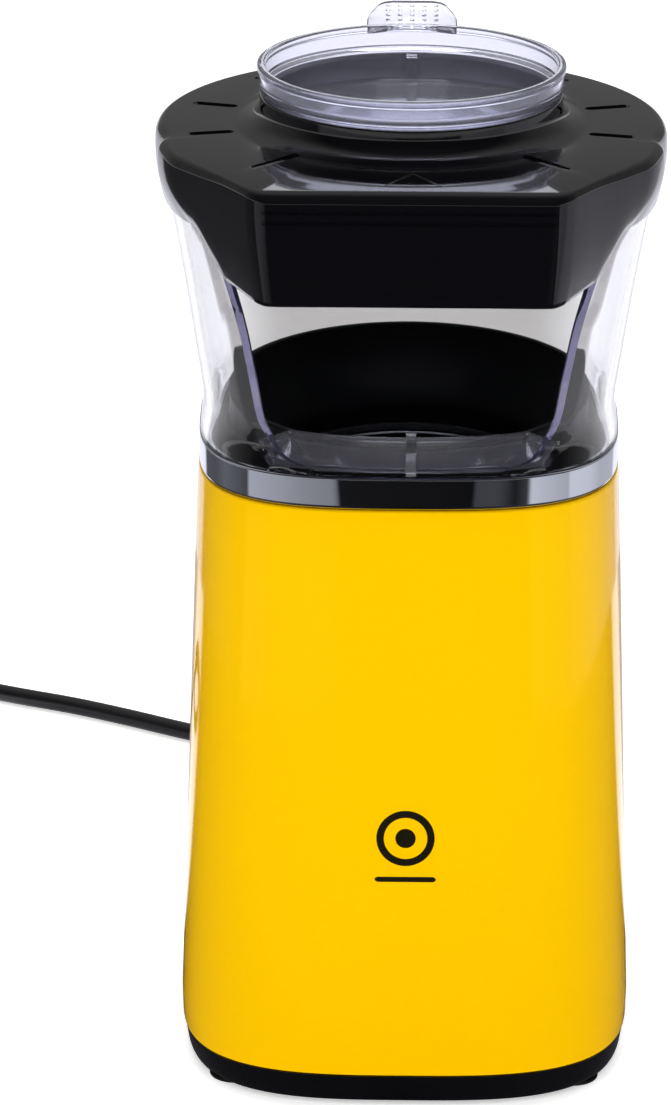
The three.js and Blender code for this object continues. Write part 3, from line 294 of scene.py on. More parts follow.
def skin(rings, wrap=False, closed_rings=True):
    """Vertices and faces over rings of points. A ring of one point is a pole."""
    starts, vertices, faces = [], [], []
    for ring in rings:
        starts.append(len(vertices))
        vertices += ring
    order = list(range(len(rings))) + ([0] if wrap else [])
    for k, m in zip(order, order[1:]):
        count = max(len(rings[k]), len(rings[m]))
        for i in range(count if closed_rings else count - 1):
            j = (i + 1) % count
            if len(rings[k]) == 1:
                faces.append((starts[k], starts[m] + j, starts[m] + i))
            elif len(rings[m]) == 1:
                faces.append((starts[k] + i, starts[k] + j, starts[m]))
            else:
                faces.append((starts[k] + i, starts[k] + j, starts[m] + j, starts[m] + i))
    return vertices, faces


def turned(points, sides=SIDES, steps=4):
    """A profile turned about the axis. It is closed on itself unless it starts and ends on the axis."""
    open_ended = points[0][0] == 0 and points[-1][0] == 0
    profile = filleted(points, closed=not open_ended, steps=steps)
    return skin([section(r, z, n, sides) for r, z, _, n in profile], wrap=not open_ended)


def rectangle(x0, x1, y0, y1):
    """Corners of a rectangle."""
    return [(x0, y0), (x1, y0), (x1, y1), (x0, y1)]


def stadium(half, radius):
    """Two half circles joined by straight sides, with their centres at the half length."""
    outline = []
    for side, first in ((1, -90), (-1, 90)):
        for k in range(9):
            a = math.radians(first + 22.5 * k)
            outline.append((side * half + radius * math.cos(a), radius * math.sin(a)))
    return outline


def prism(outline, bottom, top):
    """A flat outline in X and Y raised from one height to another."""
    count = len(outline)
    vertices = [(x, y, z) for z in (bottom, top) for x, y in outline]
    sides = [(i, (i + 1) % count, count + (i + 1) % count, count + i) for i in range(count)]
    return vertices, sides + [tuple(range(count))[::-1], tuple(range(count, 2 * count))]


def mesh_piece(name, shape, material, angle=32, about_axis=True):
    """An object of a shape in millimetres, facing out, smooth but for edges sharper than the angle."""
    vertices, faces = shape
    offset = AXIS_Y if about_axis else 0.0
    mesh = bpy.data.meshes.new(name)
    mesh.from_pydata([(x * MM, y * MM + offset, z * MM) for x, y, z in vertices], [], faces)
    piece = bpy.data.objects.new(name, mesh)
    bpy.context.scene.collection.objects.link(piece)
    if material:
        mesh.materials.append(material)
    tidy_mesh(piece, angle)
    return piece


def tidy_mesh(piece, angle=32):
    """Merges doubles, turns the faces out and sets the smooth edges."""
    work = bmesh.new()
    work.from_mesh(piece.data)
    bmesh.ops.remove_doubles(work, verts=work.verts, dist=1e-6)
    bmesh.ops.recalc_face_normals(work, faces=work.faces)
    work.to_mesh(piece.data)
    work.free()
    piece.data.shade_smooth()
    piece.data.set_sharp_from_angle(angle=math.radians(angle))


def settled(piece, angle=32):
    """Turns a piece with modifiers into a plain mesh without them."""
    bpy.context.view_layer.update()
    evaluated = piece.evaluated_get(bpy.context.evaluated_depsgraph_get())
    mesh = bpy.data.meshes.new_from_object(evaluated)
    piece.modifiers.clear()
    piece.data = mesh
    tidy_mesh(piece, angle)
    return piece


def combined(piece, other, operation, angle=32):
    """Cuts or adds another piece, which is then removed."""
    boolean = piece.modifiers.new("Cut", "BOOLEAN")
    boolean.operation = operation
    boolean.solver = "EXACT"
    boolean.material_mode = "TRANSFER"
    boolean.object = other
    settled(piece, angle)
    bpy.data.objects.remove(other)
    return piece


def joined(pieces, name):
    """One object out of several."""
    first = pieces[0]
    with bpy.context.temp_override(active_object=first, selected_editable_objects=pieces):
        bpy.ops.object.join()
    first.name = name
    first.data.name = name
    return first


def place(piece, body, slot, *nodes):
    """Puts a finished piece on its body and hides the CAD nodes whose place it takes; the slot is not used."""
    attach(piece, body)
    if nodes:
        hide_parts(*nodes)


# --- Geometry Nodes for what repeats ---
def node_group(name, inputs):
    """An empty geometry tree with named inputs, its input node and its output node."""
    tree = bpy.data.node_groups.new(name, "GeometryNodeTree")
    tree.interface.new_socket("Geometry", in_out="INPUT", socket_type="NodeSocketGeometry")
    for label, kind in inputs:
        tree.interface.new_socket(label, in_out="INPUT", socket_type=f"NodeSocket{kind}")
    tree.interface.new_socket("Geometry", in_out="OUTPUT", socket_type="NodeSocketGeometry")
    return tree, add_node(tree, "NodeGroupInput")


def close_group(tree, source, instances):
    """Ends a tree in Realize Instances and Set Material."""
    real = add_node(tree, "GeometryNodeRealizeInstances", None, {"Geometry": instances})
    painted = add_node(
        tree, "GeometryNodeSetMaterial", None,
        {"Geometry": real.outputs[0], "Material": source.outputs["Material"]},
    )
    add_node(tree, "NodeGroupOutput", None, {"Geometry": painted.outputs[0]})


def grown(piece, tree, values, angle=32):
    """Runs a tree on a piece with the given input values and keeps the result as a plain mesh."""
    modifier = piece.modifiers.new(tree.name, "NODES")
    modifier.node_group = tree
    for item in tree.interface.items_tree:
        if item.item_type == "SOCKET" and item.in_out == "INPUT" and item.name in values:
            modifier[item.identifier] = values[item.name]
    return settled(piece, angle)


def copies_tree():
    """Sets one copy of a piece on each vertex, turned by the vertex's own `turn`."""
    tree, given = node_group(
        "Copies on marked points", [("Piece", "Object"), ("Size", "Float"), ("Material", "Material")],
    )
    original = add_node(tree, "GeometryNodeObjectInfo", None, {"Object": given.outputs["Piece"]})
    turn = add_node(tree, "GeometryNodeInputNamedAttribute", {"Name": "turn"}, data_type="FLOAT_VECTOR")
    copies = add_node(
        tree,
        "GeometryNodeInstanceOnPoints",
        None,
        {
            "Points": given.outputs["Geometry"], "Instance": original.outputs["Geometry"],
            "Rotation": turn.outputs["Attribute"], "Scale": given.outputs["Size"],
        },
    )
    close_group(tree, given, copies.outputs[0])
    return tree


def points_piece(name, points):
    """An object of loose points in millimetres about the axis, for a tree to work on."""
    mesh = bpy.data.meshes.new(name)
    mesh.from_pydata([(x * MM, y * MM + AXIS_Y, z * MM) for x, y, z in points], [], [])
    piece = bpy.data.objects.new(name, mesh)
    bpy.context.scene.collection.objects.link(piece)
    return piece


def copies(name, original, points, turns, material, angle=32):
    """Copies of a piece, made about the origin, at points in millimetres about the axis."""
    piece = points_piece(name, points)
    marks = piece.data.attributes.new("turn", "FLOAT_VECTOR", "POINT")
    for mark, turn in zip(marks.data, turns):
        mark.vector = turn
    tree = bpy.data.node_groups.get("Copies on marked points") or copies_tree()
    grown(piece, tree, {"Piece": original, "Size": 1.0, "Material": material}, angle)
    bpy.data.objects.remove(original)
    return piece


def air_slots_tree():
    """A row of slots that fills a circle, as bars to cut with."""
    tree, given = node_group(
        "Air inlet slots",
        [
            ("Slots", "Int"), ("Inlet Radius", "Float"), ("Slot Width", "Float"), ("Depth", "Float"),
            ("Material", "Material"),
        ],
    )
    slots, inlet, width = (given.outputs[name] for name in ("Slots", "Inlet Radius", "Slot Width"))
    fewer = sum_of(tree, "SUBTRACT", slots, 1.0)
    pitch = sum_of(tree, "DIVIDE", sum_of(tree, "MULTIPLY", inlet, 2.0), slots)
    first = sum_of(tree, "MULTIPLY", sum_of(tree, "MULTIPLY", fewer, pitch), -0.5)
    start = add_node(tree, "ShaderNodeCombineXYZ", None, {"X": first})
    step = add_node(tree, "ShaderNodeCombineXYZ", None, {"X": pitch})
    line = add_node(
        tree, "GeometryNodeMeshLine", None,
        {"Count": slots, "Start Location": start.outputs[0], "Offset": step.outputs[0]},
    )
    where = add_node(tree, "GeometryNodeInputPosition")
    across = add_node(tree, "ShaderNodeSeparateXYZ", None, {0: where.outputs[0]}).outputs["X"]
    squares = [sum_of(tree, "MULTIPLY", side, side) for side in (inlet, across)]
    half_chord = sum_of(tree, "SQRT", sum_of(tree, "SUBTRACT", *squares))
    length = sum_of(tree, "SUBTRACT", sum_of(tree, "MULTIPLY", half_chord, 2.0), width)
    size = add_node(tree, "ShaderNodeCombineXYZ", None, {"X": width, "Y": length, "Z": given.outputs["Depth"]})
    bar = add_node(tree, "GeometryNodeMeshCube")
    bars = add_node(
        tree, "GeometryNodeInstanceOnPoints", None,
        {"Points": line.outputs["Mesh"], "Instance": bar.outputs["Mesh"], "Scale": size.outputs[0]},
    )
    close_group(tree, given, bars.outputs[0])
    return tree


def grip_dots_tree():
    """A grid of low domes."""
    tree, given = node_group(
        "Grip dots",
        [
            ("Columns", "Int"), ("Rows", "Int"), ("Width", "Float"), ("Length", "Float"), ("Dot Radius", "Float"),
            ("Material", "Material"),
        ],
    )
    grid = add_node(
        tree,
        "GeometryNodeMeshGrid",
        None,
        {
            "Size X": given.outputs["Width"], "Size Y": given.outputs["Length"],
            "Vertices X": given.outputs["Columns"], "Vertices Y": given.outputs["Rows"],
        },
    )
    dome = add_node(tree, "GeometryNodeMeshIcoSphere", {"Subdivisions": 3}, {"Radius": given.outputs["Dot Radius"]})
    dots = add_node(
        tree, "GeometryNodeInstanceOnPoints", {"Scale": (1.0, 1.0, 0.7)},
        {"Points": grid.outputs["Mesh"], "Instance": dome.outputs["Mesh"]},
    )
    close_group(tree, given, dots.outputs[0])
    return tree


# --- Sizes and colours a user would change ---
def length_setting(name, description, default):
    """A length the user can change."""
    return bpy.props.FloatProperty(name=name, description=description, default=default, unit="LENGTH", precision=4)


class PopcornSizes(bpy.types.PropertyGroup):
    """Sizes and colours of the popcorn maker's visible pieces."""

    housing_colour: bpy.props.FloatVectorProperty(
        name="Housing colour", description="Colour of the gloss housing", subtype="COLOR", size=3, min=0, max=1,
        default=to_linear("FFC900")[:3],
    )
    cord_diameter: length_setting("Cord diameter", "Thickness of the mains cord", 0.0058)
    cup_rim_radius: length_setting("Cup rim radius", "Outside radius of the measuring cup's rim", 0.0454)
    vent_width: length_setting("Vent width", "Width of the slots in the cover", 0.0034)
    grip_columns: bpy.props.IntProperty(name="Grip columns", description="Dots across the cup's handle", default=5)
    grip_rows: bpy.props.IntProperty(name="Grip rows", description="Dots along the cup's handle", default=4)
    air_slots: bpy.props.IntProperty(name="Air slots", description="Slots in the base's air inlet", default=9)
    background: bpy.props.FloatProperty(
        name="Background brightness", description="Strength of the white surroundings", default=1.0
    )


FINISHES = {}


def finish_of(name):
    """One of the object's finishes, made at first use."""
    if not FINISHES:
        FINISHES.update(make_finishes(bpy.context.scene.popcorn_sizes))
    return FINISHES[name]


# --- Stage ---
# Shades of the cards on the floor by the compass: 0 degrees is in front of the object, 90 on its right.
# The housing mirrors the near card; the plated ring, the hood and the cover mirror the ring card.
NEAR_SHADES = [
    (-180, 0.45), (-156, 0.45), (-151, 1.4), (-138, 1.4), (-134, 0.03), (-112, 0.02), (-60, 0.06), (0, 0.004),
    (60, 0.06), (110, 0.08), (134, 0.03), (138, 1.4), (151, 1.4), (156, 0.45), (180, 0.45),
]
RING_SHADES = [
    (-180, 1.0), (-146, 1.0), (-141, 0.10), (-121, 0.09), (-105, 0.135), (-90, 0.11), (-74, 0.07), (-71, 0.45),
    (-57, 0.41), (-40, 0.36), (-27, 0.29), (-13, 0.245), (-11.5, 0.01), (10, 0.006), (11, 0.058), (19, 0.06),
    (28, 0.014), (36, 0.05), (38.5, 0.62), (60, 0.50), (72, 0.46), (75, 0.69), (100, 0.66), (120, 0.5), (146, 0.5),
    (150, 1.0), (180, 1.0),
]


class STAGE_OT_popcorn(bpy.types.Operator):
    """Adds the camera, the white paper sweep, the lights and the cards that the gloss mirrors"""

    bl_idname = "popcorn.stage"
    bl_label = "Stage"

    def execute(self, context):
        sizes = context.scene.popcorn_sizes
        lens = bpy.data.cameras.new("Camera")
        lens.sensor_width = SENSOR
        lens.lens = FOCAL * SENSOR / FRAME_TALL
        lens.clip_end = 20
        camera = bpy.data.objects.new("Camera", lens)
        context.scene.collection.objects.link(camera)
        camera.matrix_world = (
            Matrix.Translation((0, -CAMERA_BACK + AXIS_Y, CAMERA_HEIGHT))
            @ Matrix.Rotation(CAMERA_YAW, 4, "Z")
            @ Matrix.Rotation(math.pi / 2 - CAMERA_TILT, 4, "X")
            @ Matrix.Rotation(CAMERA_ROLL, 4, "Z")
        )
        context.scene.camera = camera
        context.scene.view_settings.view_transform = "Standard"

        world = bpy.data.worlds.new("Studio")
        world.use_nodes = True
        tree = world.node_tree
        tree.nodes.clear()
        # Grey round the horizon, darker in front, white overhead: black gloss stays black and keeps its shape.
        place = add_node(tree, "ShaderNodeTexCoord")
        parts = add_node(tree, "ShaderNodeSeparateXYZ", None, {0: place.outputs["Generated"]})
        rise = add_node(
            tree, "ShaderNodeMapRange",
            {"From Min": 0.4, "From Max": 0.9, "To Min": 0.24, "To Max": 0.5 * sizes.background},
            {"Value": parts.outputs["Z"]},
        )
        behind = add_node(
            tree, "ShaderNodeMapRange", {"From Min": -0.35, "From Max": 0.2, "To Min": 0.12, "To Max": 1.0},
            {"Value": parts.outputs["Y"]},
        )
        strength = sum_of(tree, "MULTIPLY", rise.outputs["Result"], behind.outputs["Result"])
        glow = add_node(tree, "ShaderNodeBackground", {"Color": (1.0, 1.0, 1.0, 1.0)}, {"Strength": strength})
        add_node(tree, "ShaderNodeOutputWorld", None, {"Surface": glow.outputs["Background"]})
        context.scene.world = world

        paper = mesh_piece(
            "paper", ([(x, y, 0) for x, y in rectangle(-6000, 6000, -5000, 9000)], [(0, 1, 2, 3)]),
            finish_of("paper"),
        )
        self.floor_card("near_card", 1, 470, NEAR_SHADES)
        self.floor_card("ring_card", 470, 3000, RING_SHADES)
        self.back_card()
        self.soft_light("front_light", (0, -1.7, 1.5), (0, 0, 0.14), (2.2, 1.2), 27)
        self.soft_light("top_light", (0, 0.3, 2.2), (0, 0.1, 0.0), (1.4, 1.4), 24)
        return {"FINISHED"}

    def floor_card(self, name, inner, outer, shades):
        """A flat card round the object that only gloss mirrors, with its shades set by the compass."""
        card = mesh_piece(name, skin([section(inner, 0.4), section(outer, 0.4)]), None)
        finish, tree = blank_material("Printed card")
        place = add_node(tree, "ShaderNodeTexCoord")
        parts = add_node(tree, "ShaderNodeSeparateXYZ", None, {0: place.outputs["Object"]})
        turn = sum_of(tree, "ARCTAN2", parts.outputs["X"], sum_of(tree, "MULTIPLY", parts.outputs["Y"], -1.0))
        share = add_node(tree, "ShaderNodeMapRange", {"From Min": -math.pi, "From Max": math.pi}, {"Value": turn})
        ramp = add_node(tree, "ShaderNodeValToRGB", None, {"Fac": share.outputs["Result"]})
        stops = ramp.color_ramp.elements
        for k, (degrees, shade) in enumerate(shades):
            at = (degrees + 180) / 360
            stop = stops[k] if k < 2 else stops.new(at)
            stop.position = at
            stop.color = (shade, shade, shade * 1.1, 1.0)
        shine = add_node(tree, "ShaderNodeEmission", {"Strength": 1.0}, {"Color": ramp.outputs["Color"]})
        add_node(tree, "ShaderNodeOutputMaterial", None, {"Surface": shine.outputs["Emission"]})
        card.data.materials.append(finish)
        self.only_mirrored(card)

    def back_card(self):
        """A bright narrow card high up behind, mirrored in the cup's floor and in the top of the cover."""
        corners = [(x, 1000, z) for x, z in rectangle(-66, 66, 430, 980)]
        card = mesh_piece("back_card", (corners, [(0, 1, 2, 3)]), None)
        finish, tree = blank_material("Lit card")
        shine = add_node(tree, "ShaderNodeEmission", {"Color": (0.93, 0.95, 1.0, 1.0), "Strength": 2.0})
        add_node(tree, "ShaderNodeOutputMaterial", None, {"Surface": shine.outputs["Emission"]})
        card.data.materials.append(finish)
        self.only_mirrored(card)
        card.visible_transmission = True

    def only_mirrored(self, card):
        """Hides a card from everything but mirror reflections."""
        card.visible_camera = False
        card.visible_diffuse = False
        card.visible_shadow = False
        card.visible_transmission = False

    def soft_light(self, name, position, target, size, power):
        """A large soft rectangle of light."""
        data = bpy.data.lights.new(name, "AREA")
        data.shape = "RECTANGLE"
        data.size, data.size_y = size
        data.energy = power
        light = bpy.data.objects.new(name, data)
        light.location = position
        light.rotation_euler = (Vector(target) - Vector(position)).to_track_quat("-Z", "Y").to_euler()
        light.visible_camera = False
        light.visible_glossy = False
        bpy.context.scene.collection.objects.link(light)


# --- Mains cord ---
CORD_ROUTE = [
    (0, 109, 24.4), (0, 120, 21.6), (0, 132, 16.4), (0, 144, 10.6), (0, 156, 6), (0, 168, 3.6), (-1, 180, 3.1),
    (-4.8, 192.5, 3.1), (-12.5, 204.5, 3.1), (-23.5, 215.5, 3.1), (-38, 225.8, 3.1), (-56, 236.6, 3.1),
    (-75, 247.4, 3.1), (-94.6, 260, 3.1), (-114.3, 271.6, 3.1), (-134, 281, 3.1), (-148, 288.4, 3.1),
    (-160, 294.4, 3.3), (-167, 297, 3.5), (-177, 300.6, 3.8),
]
COIL_X, COIL_Y, COIL_R = -197.0, 268.0, 33.0
RELIEF_START = 67.9
RELIEF_LENGTH = 30.0
PLUG_X, PLUG_TAIL, PLUG_Z = -232.9, 234.0, 7.0


def coil_points(radius):
    """Two turns side by side, then part of a turn in the groove between them."""
    points = []
    for degrees in range(75, 901, 15):
        reach, lift = COIL_R + radius, radius + 1.0
        if degrees > 390:
            reach -= 2 * radius * min(1, (degrees - 390) / 45)
        if degrees > 675:
            climb = math.radians(60 * min(1, (degrees - 675) / 60))
            reach = COIL_R + radius - 2 * radius * math.cos(climb)
            lift = radius + 1.0 + 2 * radius * math.sin(climb)
        if 735 < degrees < 810:
            lift += 1.1 * math.sin(math.pi * (degrees - 735) / 75)
        if degrees > 855:
            lift += 0.5 * (degrees - 855) / 45
        turn = math.radians(degrees)
        points.append((COIL_X + reach * math.cos(turn), COIL_Y + reach * math.sin(turn), lift))
    return points


class CORD_OT_popcorn(bpy.types.Operator):
    """Adds the mains cord with its coil, tie, plug and strain relief"""

    bl_idname = "popcorn.cord"
    bl_label = "Mains cord"

    def execute(self, context):
        diameter = context.scene.popcorn_sizes.cord_diameter
        radius = diameter / 2 / MM
        start = RELIEF_START + RELIEF_LENGTH - 2.0
        route = [(0, start, CORD_EXIT_HEIGHT), (0, start + 5, CORD_EXIT_HEIGHT - 0.05)] + CORD_ROUTE
        route += coil_points(radius)
        route += [
            (-231.2, 259.5, 10.4), (-232.3, 252, 10.1), (-232.8, 245, 8.9), (PLUG_X, 239, 7.5),
            (PLUG_X, PLUG_TAIL - 2, PLUG_Z),
        ]
        points = [Vector((x * MM, y * MM + AXIS_Y, z * MM)) for x, y, z in route]
        line = bpy.data.curves.new("mains_cord", "CURVE")
        line.dimensions = "3D"
        line.bevel_depth = diameter / 2
        line.bevel_resolution = 4
        line.resolution_u = 4
        line.use_fill_caps = True
        spline = line.splines.new("BEZIER")
        spline.bezier_points.add(len(points) - 1)
        for i, (knot, point) in enumerate(zip(spline.bezier_points, points)):
            before, after = points[max(i - 1, 0)], points[min(i + 1, len(points) - 1)]
            along = (after - before).normalized()
            knot.co = point
            knot.handle_left = point - along * (point - before).length / 3
            knot.handle_right = point + along * (after - point).length / 3
        line.materials.append(finish_of("PVC cord"))
        cord = bpy.data.objects.new("mains_cord", line)
        context.scene.collection.objects.link(cord)
        place(cord, "base", "rubber", "cord", "cord_coil", "cord_end")

        relief = self.strain_relief()
        tie = self.cord_tie(radius)
        plug = self.plug()
        pins = self.pins()
        return {"FINISHED"}

    def strain_relief(self):
        """A tapered sleeve with grooves round it."""
        profile = [(0, -5.5), (7.4, -5.5, 0.4), (7.4, -3.5, 0.4), (5.4, -3.5), (5.4, 0.3), (7.4, 0.3, 0.4)]
        profile += [(7.4, 2.3, 0.8), (5.6, 3.4, 0.5)]
        for k in range(7):
            along = 6.0 + 3.1 * k
            outer = 5.4 - 1.2 * (along - 3) / 27
            profile += [(outer, along, 0.25), (outer - 0.9, along + 0.35, 0.2), (outer - 0.9, along + 1.1, 0.2),
                        (outer - 0.05, along + 1.45, 0.25)]
        profile += [
            (4.1, RELIEF_LENGTH, 0.6), (3.0, RELIEF_LENGTH, 0.2), (3.0, RELIEF_LENGTH - 3), (0, RELIEF_LENGTH - 3),
        ]
        vertices, faces = turned(profile, sides=48, steps=3)
        wall = half_width(CORD_EXIT_HEIGHT - 8.4)
        vertices = [(x, wall + z, CORD_EXIT_HEIGHT - y) for x, y, z in vertices]
        relief = mesh_piece("strain_relief_sleeve", (vertices, faces), finish_of("rubber"))
        place(relief, "base", "rubber", "strain_relief")
        return relief

    def cord_tie(self, radius):
        """A flat band round the two turns at the coil's near side."""
        band = [stadium(radius, radius + grow) for grow in (0.25, 0.85)]
        rings = []
        for ring, edge in ((0, -3.0), (1, -3.0), (1, 3.0), (0, 3.0)):
            rings.append([(COIL_X + edge, COIL_Y - COIL_R - y, radius + 1 + z) for y, z in band[ring]])
        tie = mesh_piece("cord_tie_band", skin(rings, wrap=True), finish_of("black nylon"))
        place(tie, "base", "black_plastic", "cord_tie")
        return tie

    def plug(self):
        """A moulded two-pin plug with grip ridges on its sides."""
        stations = [
            (0, 4.9, 4.9), (-2, 5.4, 5.2), (-8, 8.0, 5.7), (-14, 12.2, 6.2), (-19, 15.4, 6.5), (-24, 17.0, 6.7),
        ]
        for k in range(4):
            at = -25 - 2.4 * k
            stations += [(at, 17.3, 6.75), (at - 0.5, 16.5, 6.6), (at - 1.3, 16.5, 6.6), (at - 1.8, 17.3, 6.75)]
        stations += [(-35.2, 17.4, 6.8), (-35.8, 17.0, 6.5), (-36, 16.4, 6.0)]
        rings = []
        for along, wide, tall in stations:
            ring = [
                (PLUG_X + x * wide, PLUG_TAIL + along, PLUG_Z + y * tall)
                for x, y, _ in section(1.0, 0, 3.2, 64)
            ]
            rings.append(ring)
        ends = [[(PLUG_X, PLUG_TAIL, PLUG_Z)], [(PLUG_X, PLUG_TAIL - 36, PLUG_Z)]]
        plug = mesh_piece("plug_moulding", skin([ends[0]] + rings + [ends[1]]), finish_of("black nylon"), 40)
        place(plug, "base", "black_plastic", "plug_body")
        return plug

    def pins(self):
        """Two round pins with domed ends, each with an insulating sleeve behind it."""
        sleeve = turned([
            (0, 0), (2.3, 0), (2.3, 9.6, 0.2), (2.0, 10), (2.0, 10.2), (2.1, 10.4, 0.1), (2.4, 10.6, 0.1),
            (2.4, 17.6, 0.6), (1.5, 19, 0.6), (0, 19),
        ], sides=32)
        vertices = [(x, -z, y) for x, y, z in sleeve[0]]
        pin = mesh_piece("pin", (vertices, sleeve[1]), None, 40, about_axis=False)
        places = [(PLUG_X + s * 9.5, PLUG_TAIL - 36.3, PLUG_Z) for s in (-1, 1)]
        pins = copies("plug_pins", pin, places, [(0, 0, 0)] * 2, finish_of("pin metal"))
        place(pins, "base", "brass", "plug_pin_1", "plug_pin_2")
        return pins


# --- Housing, trim ring and mark ---
class HOUSING_OT_popcorn(bpy.types.Operator):
    """Adds the gloss housing, the bright trim ring and a plain printed mark"""

    bl_idname = "popcorn.housing"
    bl_label = "Housing"

    def execute(self, context):
        n = SQUARENESS
        inner = HOUSING_WALL
        top_half = HOUSING_HALF - HOUSING_TAPER
        levels = [HOUSING_BOTTOM + 8 + (HOUSING_TOP - HOUSING_BOTTOM - 16) * k / 16 for k in range(17)]
        profile = [(HOUSING_HALF - 0.5, HOUSING_BOTTOM, 0.9, n)]
        profile += [(half_width(z), z, 0, n) for z in levels]
        profile += [
            (half_width(HOUSING_TOP) - 0.2, HOUSING_TOP, 0.8, n), (top_half - LEDGE, HOUSING_TOP, 0.3, n),
            (top_half - LEDGE, HOUSING_TOP - 2, 0.3, n), (top_half - inner, HOUSING_TOP - 2, 0, n),
        ]
        profile += [(half_width(z) - inner, z, 0, n) for z in reversed(levels)]
        profile += [(HOUSING_HALF - inner, HOUSING_BOTTOM, 0.4, n)]
        shell = mesh_piece("housing_shell", turned(profile, 192), finish_of("yellow ABS"))
        self.open_back(shell)
        posts = self.inner_posts()
        shell = joined([shell, posts], "housing_shell")
        place(shell, "base", "yellow_gloss", "housing")

        edge = [
            (TRIM_HALF - 0.5, TRIM_BOTTOM, 0.5, n), (TRIM_HALF - 0.02, TRIM_BOTTOM + 0.7, 0.5, n),
            (TRIM_HALF - 0.02, TRIM_TOP, 0.7, n), (TRIM_HALF - TRIM_WIDTH, TRIM_TOP, 0.3, n),
            (TRIM_HALF - TRIM_WIDTH, TRIM_BOTTOM, 0.3, n),
        ]
        trim = mesh_piece("trim_ring_plated", turned(edge, 192, steps=5), finish_of("chrome"))
        place(trim, "base", "chrome", "trim_ring")
        self.mark()
        return {"FINISHED"}

    def open_back(self, shell):
        """Cuts the openings for the switch and the strain relief."""
        wall = half_width(SWITCH_HEIGHT)
        hole = rectangle(-9.6, 9.6, wall - 8, wall + 8)
        opening = mesh_piece("opening", prism(hole, SWITCH_HEIGHT - 6.6, SWITCH_HEIGHT + 6.6), None)
        combined(shell, opening, "DIFFERENCE")
        bore = turned([(0, -10), (5.7, -10), (5.7, 10), (0, 10)], 48)
        wall = half_width(CORD_EXIT_HEIGHT)
        vertices = [(x, wall + z, CORD_EXIT_HEIGHT - y) for x, y, z in bore[0]]
        combined(shell, mesh_piece("bore", (vertices, bore[1]), None), "DIFFERENCE")

    def inner_posts(self):
        """Four screw posts in the corners."""
        post = turned([(1.7, 4.4, 0.2), (4.0, 4.4, 0.2), (4.0, 34.4, 0.3), (0, 34.4), (0, 16), (1.7, 16)], 24, 2)
        shape = mesh_piece("post", post, None, about_axis=False)
        where = [(sx * 39.9, sy * 49.9, 0) for sx in (-1, 1) for sy in (-1, 1)]
        return copies("housing_posts", shape, where, [(0, 0, 0)] * 4, finish_of("yellow ABS"))

    def mark(self):
        """A plain ring over a short bar, printed on the front."""
        vertices, faces = [], []
        rings = ((8.6, 6.4), (3.0, 0.0))
        for outer, inner in rings:
            base = len(vertices)
            for k in range(64):
                a = 2 * math.pi * k / 64
                vertices += [(r * math.cos(a), r * math.sin(a) + 86) for r in (inner, outer)]
            for k in range(64):
                j = (k + 1) % 64
                faces.append(tuple(base + i for i in (2 * k, 2 * k + 1, 2 * j + 1, 2 * j)))
        base = len(vertices)
        for k in range(25):
            x = -9 + 18 * k / 24
            end = min(1.0, (9 - abs(x)) / 0.8 + 0.35)
            vertices += [(x, 73.2 - 0.8 * end), (x, 73.2 + 0.8 * end)]
        for k in range(24):
            faces.append(tuple(base + i for i in (2 * k, 2 * k + 2, 2 * k + 3, 2 * k + 1)))
        wrapped = []
        for x, z in vertices:
            half = half_width(z)
            wrapped.append((x, -half * (1 - abs(x / half) ** SQUARENESS) ** (1 / SQUARENESS) - 0.02, z))
        mark = mesh_piece("printed_mark", (wrapped, faces), finish_of("ink"))
        thick = mark.modifiers.new("Ink", "SOLIDIFY")
        thick.thickness = 0.03 * MM
        thick.offset = 0
        settled(mark)
        place(mark, "base", "black_gloss")


